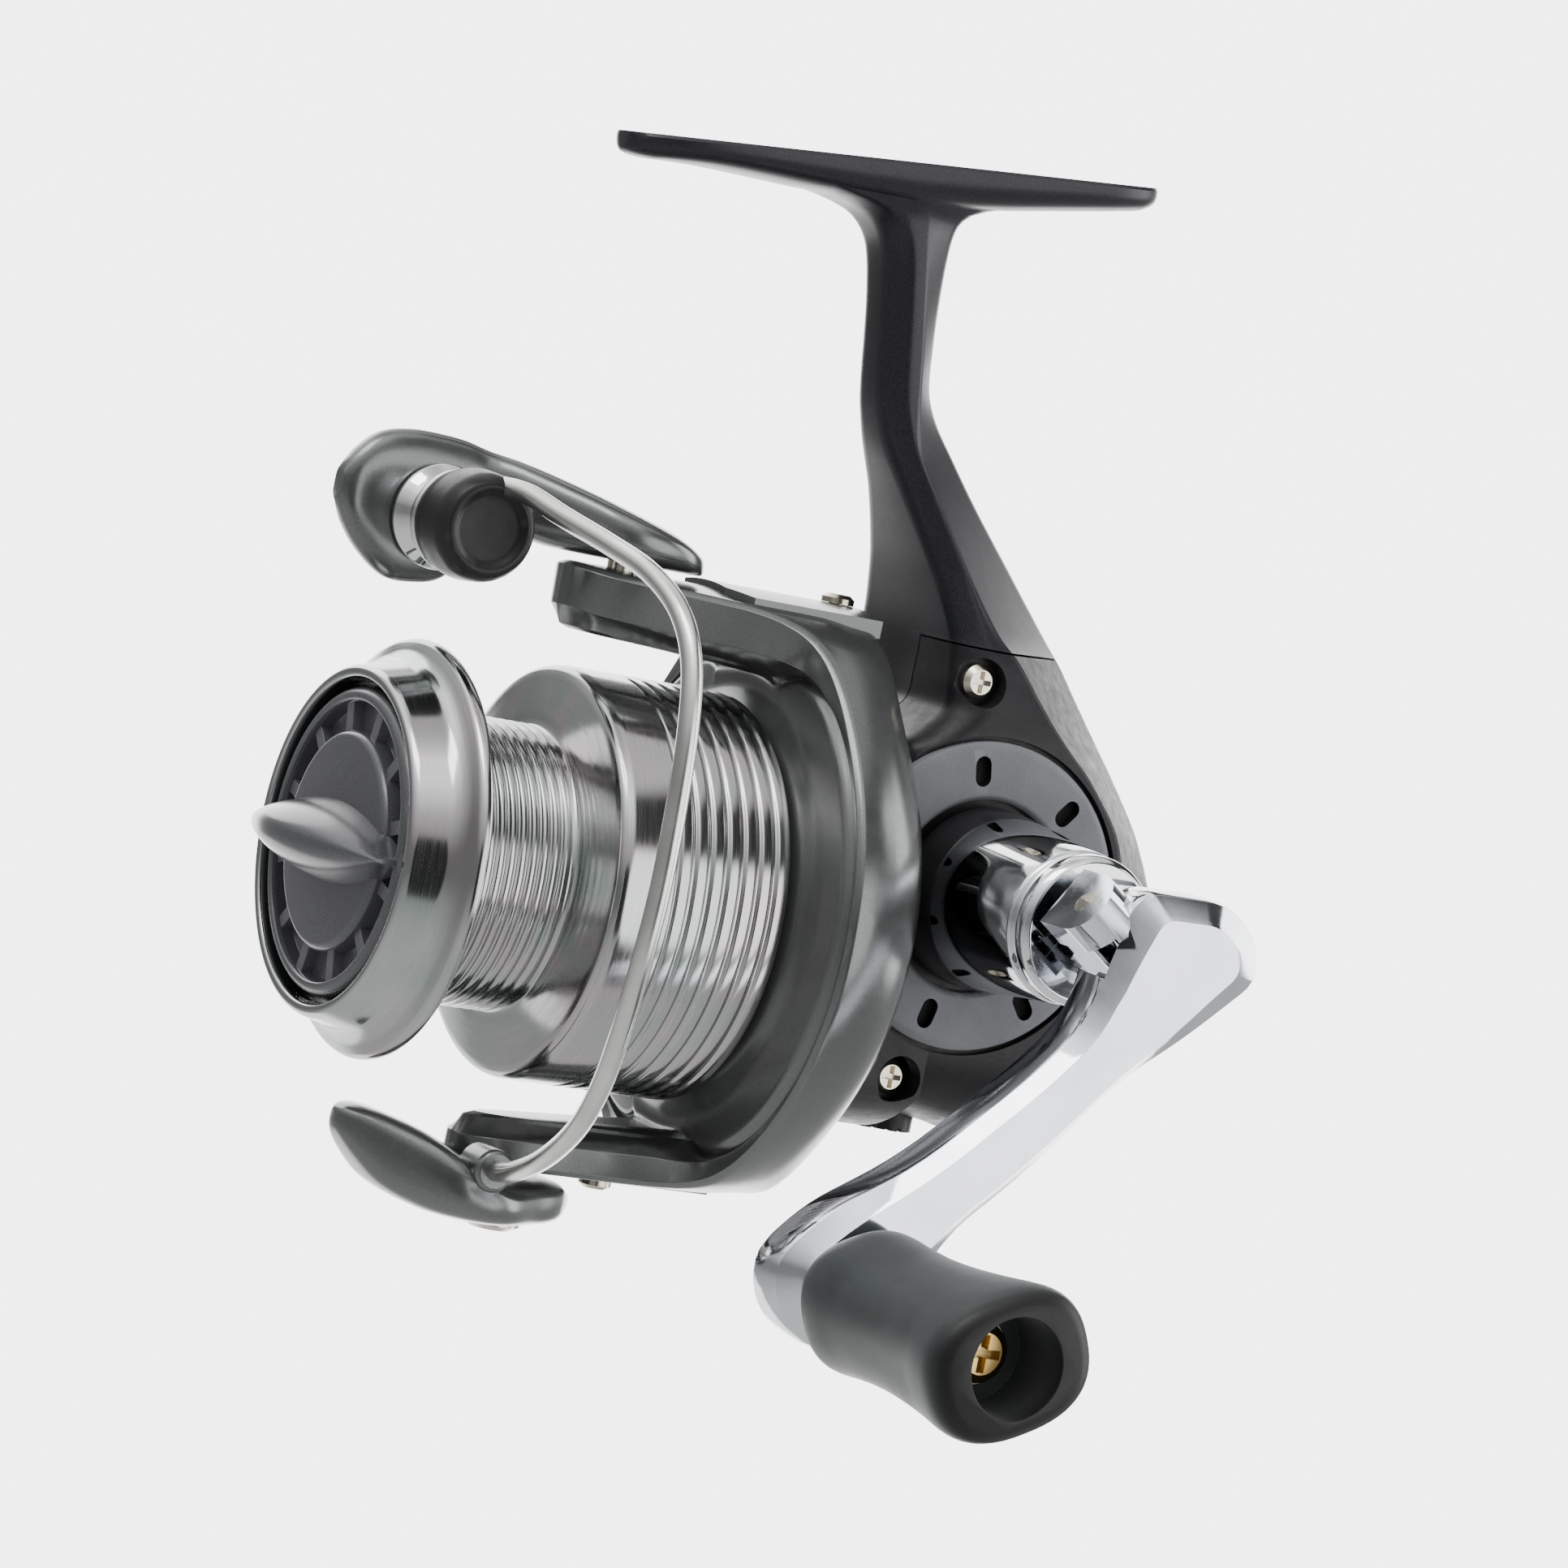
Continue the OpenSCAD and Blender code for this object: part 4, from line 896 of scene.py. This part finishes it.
WIRE_ROUTE = [(61.4, 8.2, 39), (60, 11.6, 38.8), (58.2, 17, 37.3), (56.6, 25, 35.6), (55.8, 33, 33.8),
              (54.9, 38.6, 30.8), (54.4, 42, 26.4), (54.4, 44, 20), (54.4, 44.8, 12), (54.3, 44.7, 4),
              (54.2, 43.6, -4), (53.2, 40.4, -11.4), (51.8, 36, -17.2), (50.3, 30, -22.3), (49, 22, -26.8),
              (48.2, 14.4, -29.6), (WIRE_END[0], 9.6, WIRE_END[1])]


def tube(route, radius, sides=20):
    """A round tube along a route that never runs straight along X."""
    turns = [2 * math.pi * k / sides for k in range(sides)]
    rings = []
    for i, p in enumerate(route):
        t = (route[min(i + 1, len(route) - 1)] - route[max(i - 1, 0)]).normalized()
        u = t.cross(Vector((1, 0, 0))).normalized()
        v = t.cross(u)
        rings.append([tuple(p + radius * (u * math.cos(a) + v * math.sin(a))) for a in turns])
    return loft(rings)


piece("Bail_wire", [tube(smooth_path(WIRE_ROUTE, 8), WIRE_R)], "bail", "wire_nickel", ["bail_wire"], sharp=60)

ROLLER_AT = (ROLLER.x, ROLLER.z)
guide_outline = rounded([(-7.4, 0, 0), (-7.4, 1.2, 0), (2.7, 1.2, 0), (2.7, 5.4, 0.3), (4.6, 5.85, 1.0),
                         (8.4, 5.6, 1.2), (9.6, 4.9, 0.8), (9.8, 4.2, 0.3), (9.3, 3.4, 0.3), (8.9, 0, 0)], 4)
roller_outline = rounded([(-2.75, 2.24, 0), (-2.75, 5.4, 0.2), (-2.1, 5.6, 0.4), (-0.9, 4.5, 0.8),
                          (-0.1, 4.2, 0.6), (0.7, 4.5, 0.8), (1.9, 5.5, 0.4), (2.55, 5.2, 0.2),
                          (2.55, 2.24, 0)], 4)
piece("Line_guide_cap", [lathe(guide_outline, "y", ROLLER_AT, 96)], "bail", "guide_black", ["roller_screw"])
piece("Line_roller", [lathe(roller_outline, "y", ROLLER_AT, 96)], "line_roller", "roller_chrome",
      ["line_roller"])

# --- handle: barrel, crank arm and knob ---

FOLD_Y = FOLD.y
BARREL_Y = 37.6
# Where the black foot of the barrel ends and its chrome begins
FOOT_Y = 20.5
barrel_outline = rounded([(-11.5, 0, 0), (-11.5, 2.6, 0), (14.6, 2.6, 0), (14.6, 9.2, 0.3), (15.2, 9.7, 0.4),
                          (18, 9.6, 1.5), (FOOT_Y - 0.2, 9.36, 0.1), (FOOT_Y, 9.15, 0.1),
                          (FOOT_Y + 0.2, 9.3, 0.1), (22, 9.2, 2), (30, 8.5, 2), (34.6, 8.1, 0.3),
                          (35, 7.5, 0.2), (35.4, 7.5, 0.2), (35.8, 8, 0.2), (BARREL_Y - 0.6, 7.9, 0.4),
                          (BARREL_Y, 7.3, 0.2), (BARREL_Y, 0, 0)], 4)


def clevis_point(u, y, along_pin):
    """A point in the fold's own frame: u along the crank, y outward, and a distance along the pin."""
    middle = Vector((0, y, DRIVE_Z))
    return tuple(middle + ARM_DIR * u + PIN_AXIS * along_pin)


def clevis_slab(outline, low, high):
    """A slab with a (u, y) outline between two distances along the pin."""
    return loft([[clevis_point(u, y, h) for u, y in outline] for h in (low, high)])


def half_round(radius, step):
    """(u, y) points of a half circle about the fold's pin, on its outer side."""
    turns = [math.radians(a) for a in range(0, 181, step)]
    return [(radius * math.cos(a), FOLD_Y + radius * math.sin(a)) for a in turns]


TONGUE_R, TONGUE_HALF = 3, 2.7
tongue = [(-TONGUE_R, BARREL_Y - 1), (TONGUE_R, BARREL_Y - 1), *half_round(TONGUE_R, 10)]
handle_barrel = piece("Handle_barrel", [lathe(barrel_outline, "y", (0, DRIVE_Z), 160),
                                        clevis_slab(tongue, -TONGUE_HALF, TONGUE_HALF)],
                      "drive", "handle_chrome", ["handle_barrel"])
handle_barrel.data.materials.append(MAT["guide_black"])
for face in handle_barrel.data.polygons:
    if face.center.y / MM < FOOT_Y:
        face.material_index = 1

# Outline of the crank's outer face, from its tail round the back edge to the knob and home
CRANK_OUT = [(1.2, 11.9, 2.6), (-9.6, 12.1, 4.5), (-14.0, 9.4, 3.0), (-15.6, 4.6, 3.0), (-8.0, -2.4, 5.0),
             (-1.4, -7.4, 5.0), (8.0, -18.5, 5.0), (15.0, -25.2, 3.0), (18.6, -32.0, 4.5), (25.8, -39.9, 5.0),
             (33.2, -36.2, 5.0), (35.0, -30.4, 5.0), (30.2, -24.9, 4.5), (20.5, -18.9, 5.0), (9.4, -8.3, 5.0),
             (4.4, -2.4, 4.0), (3.4, 5.0, 4.0)]


def crank_part():
    """Crank arm: a smooth slab whose outer edges are chamfered on to a narrower flat face."""
    outline = rounded(CRANK_OUT, 5)
    spine = ((-6, 5.5), (-2, -1.5), (6, -10.5), (14, -18.5), (22, -26), (26.5, -31))
    middle = [Vector((x, z)) for x, z in spine]
    rings = []
    for y, shrink in ((42.05, 0.10), (42.4, 0.02), (42.9, 0.0), (46.2, 0.0), (46.9, 0.035), (48.0, 0.3),
                      (48.4, 0.38)):
        ring = []
        for p in outline:
            near = min(((a, b) for a, b in zip(middle, middle[1:])), key=lambda ab: segment_gap(p, *ab))
            foot = segment_foot(p, *near)
            q = p + (foot - p) * shrink
            ring.append((q.x, y, q.y))
        rings.append(ring)
    return loft(rings)


def segment_foot(p, a, b):
    """The point of a line from a to b that is nearest to p."""
    t = max(0.0, min(1.0, (p - a).dot(b - a) / (b - a).length_squared))
    return a + (b - a) * t


def segment_gap(p, a, b):
    """The distance from p to the line from a to b."""
    return (segment_foot(p, a, b) - p).length


EAR_R, EAR_HALF, EAR_LOW_Y = 3.6, 6.4, 39.2
FORK_U, FORK_HALF = 4.9, 2.8
ears = [(EAR_R, EAR_LOW_Y), *half_round(EAR_R, 9), (-EAR_R, EAR_LOW_Y)]
crank = joined("crank_shell", crank_part(), clevis_slab(ears, -EAR_HALF, EAR_HALF))
slot = [(-FORK_U, FOLD_Y - 8), (FORK_U, FOLD_Y - 8), (FORK_U, FOLD_Y + 3.4), (-FORK_U, FOLD_Y + 3.4)]
cut(crank, [clevis_slab(slot, -FORK_HALF, FORK_HALF)])
adopt(crank, "Crank_arm", "crank", "crank_chrome", ["crank_arm"], sharp=28)
crank.data.materials.append(MAT["crank_satin"])
# The outer face is satin as far as this from the fold, in millimetres along the arm
SATIN_REACH = 14
for face in crank.data.polygons:
    if face.normal.y > 0.97 and (face.center - row(FOLD)).dot(ARM_DIR) / MM < SATIN_REACH:
        face.material_index = 1
bevel_modifier(crank, 0.35, 3, 28)

KNOB_TURN = math.radians(25)
# Distance out along the knob, half width, half thickness
KNOB_ROWS = [(49.25, 5.7, 5.5), (49.6, 6.6, 6.3), (50.6, 7.15, 6.8), (52.5, 7.3, 6.9), (56, 7.15, 6.6),
             (60, 7.1, 6.35), (64, 7.2, 6.4), (68, 7.5, 6.6), (72, 8.0, 6.85), (75.5, 8.6, 7.1),
             (77.6, 8.8, 7.15), (79.0, 8.5, 6.9), (79.8, 7.8, 6.3), (79.98, 7.0, 5.6)]


def knob_part():
    long_way = Vector((math.cos(KNOB_TURN), 0, -math.sin(KNOB_TURN)))
    short_way = Vector((math.sin(KNOB_TURN), 0, math.cos(KNOB_TURN)))
    rings = []
    for y in places_between(KNOB_ROWS[0][0], KNOB_ROWS[-1][0], 60):
        half, thick = table_value(KNOB_ROWS, y)
        rings.append(flat_oval((KNOB.x, y, KNOB.z), long_way, short_way, half, thick, 2.5, 72))
    return loft(rings)


knob = joined("knob_shell", knob_part())
cut(knob, [rod("y", 5.0, 71.95, 90, (KNOB.x, KNOB.z), 96), rod("y", 3.44, 48, 72.2, (KNOB.x, KNOB.z), 64)])
adopt(knob, "Handle_knob", "handle_knob", "knob_rubber", ["handle_knob"], sharp=42)
bevel_modifier(knob, 0.3, 3, 50)

# --- finishes of the frame's own pieces ---

for part in frame["record"]["subparts"]:
    obj = frame["nodes"][part["node"]]
    if obj.hide_render:
        continue
    obj.data.materials.clear()
    obj.data.materials.append(MAT[part["material_slot"]])
    low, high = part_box(part["node"])
    bevel_modifier(obj, min(0.12, max(high - low) / MM * 0.02), 2, 30)

# --- studio ---


def card(name, middle, facing, wide, high):
    """A flat rectangle facing a point, part of the studio."""
    a, b = wide / 2, high / 2
    obj = new_object(name, [(-a, -b, 0), (a, -b, 0), (a, b, 0), (-a, b, 0)], [(0, 1, 2, 3)])
    obj.location = middle
    obj.rotation_euler = (Vector(facing) - Vector(middle)).to_track_quat("Z", "Y").to_euler()
    return obj


def lamp(name, middle, facing, wide, high, watts, color=(1, 1, 1)):
    data = bpy.data.lights.new(name, "AREA")
    data.shape = "RECTANGLE"
    data.size, data.size_y = wide, high
    data.energy = watts
    data.color = color
    obj = bpy.data.objects.new(name, data)
    bpy.context.collection.objects.link(obj)
    obj.location = middle
    obj.rotation_euler = (Vector(facing) - Vector(middle)).to_track_quat("-Z", "Y").to_euler()
    return obj


low, high = cad_box
middle = Vector([(a + b) / 2 for a, b in zip(low, high)])
PALE = 5.0

floor = card("Floor", (middle.x, middle.y, low[2] - 0.06), (middle.x, middle.y, 10), 60, 60)
floor.visible_diffuse = False
floor.visible_glossy = False
floor.visible_shadow = False
paper = Nodes("floor_paper")
speck = paper.noise(0.02, 2)
paper.shader.inputs["Emission Strength"].default_value = PALE
glow = paper.mix(paper.span(speck, 0, 1), (0.995, 0.995, 0.995), (1, 1, 1))
paper.link(glow, paper.shader.inputs["Emission Color"])
floor.data.materials.append(paper.done(paper.mix(paper.span(speck, 0, 1), (0, 0, 0), (0.001, 0.001, 0.001)),
                                       paper.span(speck, 0.9, 1), Specular_IOR_Level=0.0))

world = bpy.data.worlds.new("studio")
bpy.context.scene.world = world
world.use_nodes = True
tree = world.node_tree
tree.nodes.clear()


def world_node(kind, **values):
    node = tree.nodes.new(kind)
    for key, value in values.items():
        setattr(node, key, value)
    return node


def world_range(value, low, high):
    """value from low..high mapped to 0..1, eased."""
    node = world_node("ShaderNodeMapRange", interpolation_type="SMOOTHSTEP")
    node.inputs["From Min"].default_value = low
    node.inputs["From Max"].default_value = high
    tree.links.new(value, node.inputs["Value"])
    return node.outputs["Result"]


def world_ramp(value, stops):
    """Brightness by height, from (height from -1 to 1, brightness) stops."""
    ramp = world_node("ShaderNodeValToRGB")
    elements = ramp.color_ramp.elements
    while len(elements) < len(stops):
        elements.new(0.5)
    for element, (height, bright) in zip(elements, stops):
        element.position = (height + 1) / 2
        element.color = (bright, bright, bright, 1)
    node = world_node("ShaderNodeMapRange")
    node.inputs["From Min"].default_value = -1
    tree.links.new(value, node.inputs["Value"])
    tree.links.new(node.outputs["Result"], ramp.inputs["Fac"])
    return ramp.outputs["Color"]


def world_light(color, strength):
    node = world_node("ShaderNodeBackground")
    if isinstance(color, tuple):
        node.inputs["Color"].default_value = color
    else:
        tree.links.new(color, node.inputs["Color"])
    node.inputs["Strength"].default_value = strength
    return node.outputs[0]


def world_mix(factor, a, b):
    node = world_node("ShaderNodeMixShader")
    for value, place in ((factor, 0), (a, 1), (b, 2)):
        tree.links.new(value, node.inputs[place])
    return node.outputs[0]


coords = world_node("ShaderNodeTexCoord")
split = world_node("ShaderNodeSeparateXYZ")
tree.links.new(coords.outputs["Generated"], split.inputs[0])
toward_x, toward_z = split.outputs["X"], split.outputs["Z"]


def softbox(direction, start, full):
    """1 inside a round patch of the room about a direction, 0 outside it."""
    dot = world_node("ShaderNodeVectorMath", operation="DOT_PRODUCT")
    tree.links.new(coords.outputs["Generated"], dot.inputs[0])
    dot.inputs[1].default_value = direction
    return world_range(dot.outputs["Value"], start, full)


# A dark room with a pale table: brightness by height in front of the reel and behind it
FRONT_ROOM = [(-1, 0.17), (-0.6, 0.15), (-0.3, 0.10), (-0.1, 0.05), (0.1, 0.05), (0.22, 0.09), (0.5, 0.2),
              (0.78, 0.5), (0.9, 0.4), (1, 0.16)]
BACK_ROOM = [(-1, 0.16), (-0.5, 0.12), (-0.15, 0.12), (0.0, 0.22), (0.3, 0.12), (0.45, 0.012), (0.72, 0.012),
             (0.8, 0.22), (1, 0.18)]
front_side = world_light(world_ramp(toward_z, FRONT_ROOM), PALE)
back_side = world_light(world_ramp(toward_z, BACK_ROOM), PALE)
gloss = world_mix(world_range(toward_x, -0.2, -0.42), front_side, back_side)
# Patches of the room: direction, cosines where the patch starts and is full, brightness. In order: the sheet
# behind the reel, a dark patch in front, a softbox at the front left, one high and one low at the back
PATCHES = [((-0.495, -0.867, -0.055), 0.80, 0.87, 0.9), ((0.05, 0.998, -0.05), 0.94, 0.96, 0.006),
           ((-0.5, 0.866, 0.0), 0.90, 0.95, 0.62), ((0.055, -0.867, 0.495), 0.95, 0.97, 0.9),
           ((-0.05, -0.87, -0.5), 0.93, 0.97, 0.45)]
for direction, start, full, bright in PATCHES:
    gloss = world_mix(softbox(direction, start, full), gloss, world_light((bright, bright, bright, 1), PALE))
soft = world_light(world_ramp(toward_z, [(-1, 0.7), (0, 0.85), (1, 1.0)]), 1.5)
paths = world_node("ShaderNodeLightPath")
seen = world_light((1, 1, 1, 1), PALE)
output = world_node("ShaderNodeOutputWorld")
surfaces = world_mix(paths.outputs["Is Glossy Ray"], soft, gloss)
tree.links.new(world_mix(paths.outputs["Is Camera Ray"], surfaces, seen), output.inputs[0])

lamp("key", middle + Vector((0.45, 0.35, 0.95)), middle, 0.7, 0.4, 5)
lamp("rim", middle + Vector((-0.95, 0.25, 0.2)), middle, 0.4, 0.9, 5)
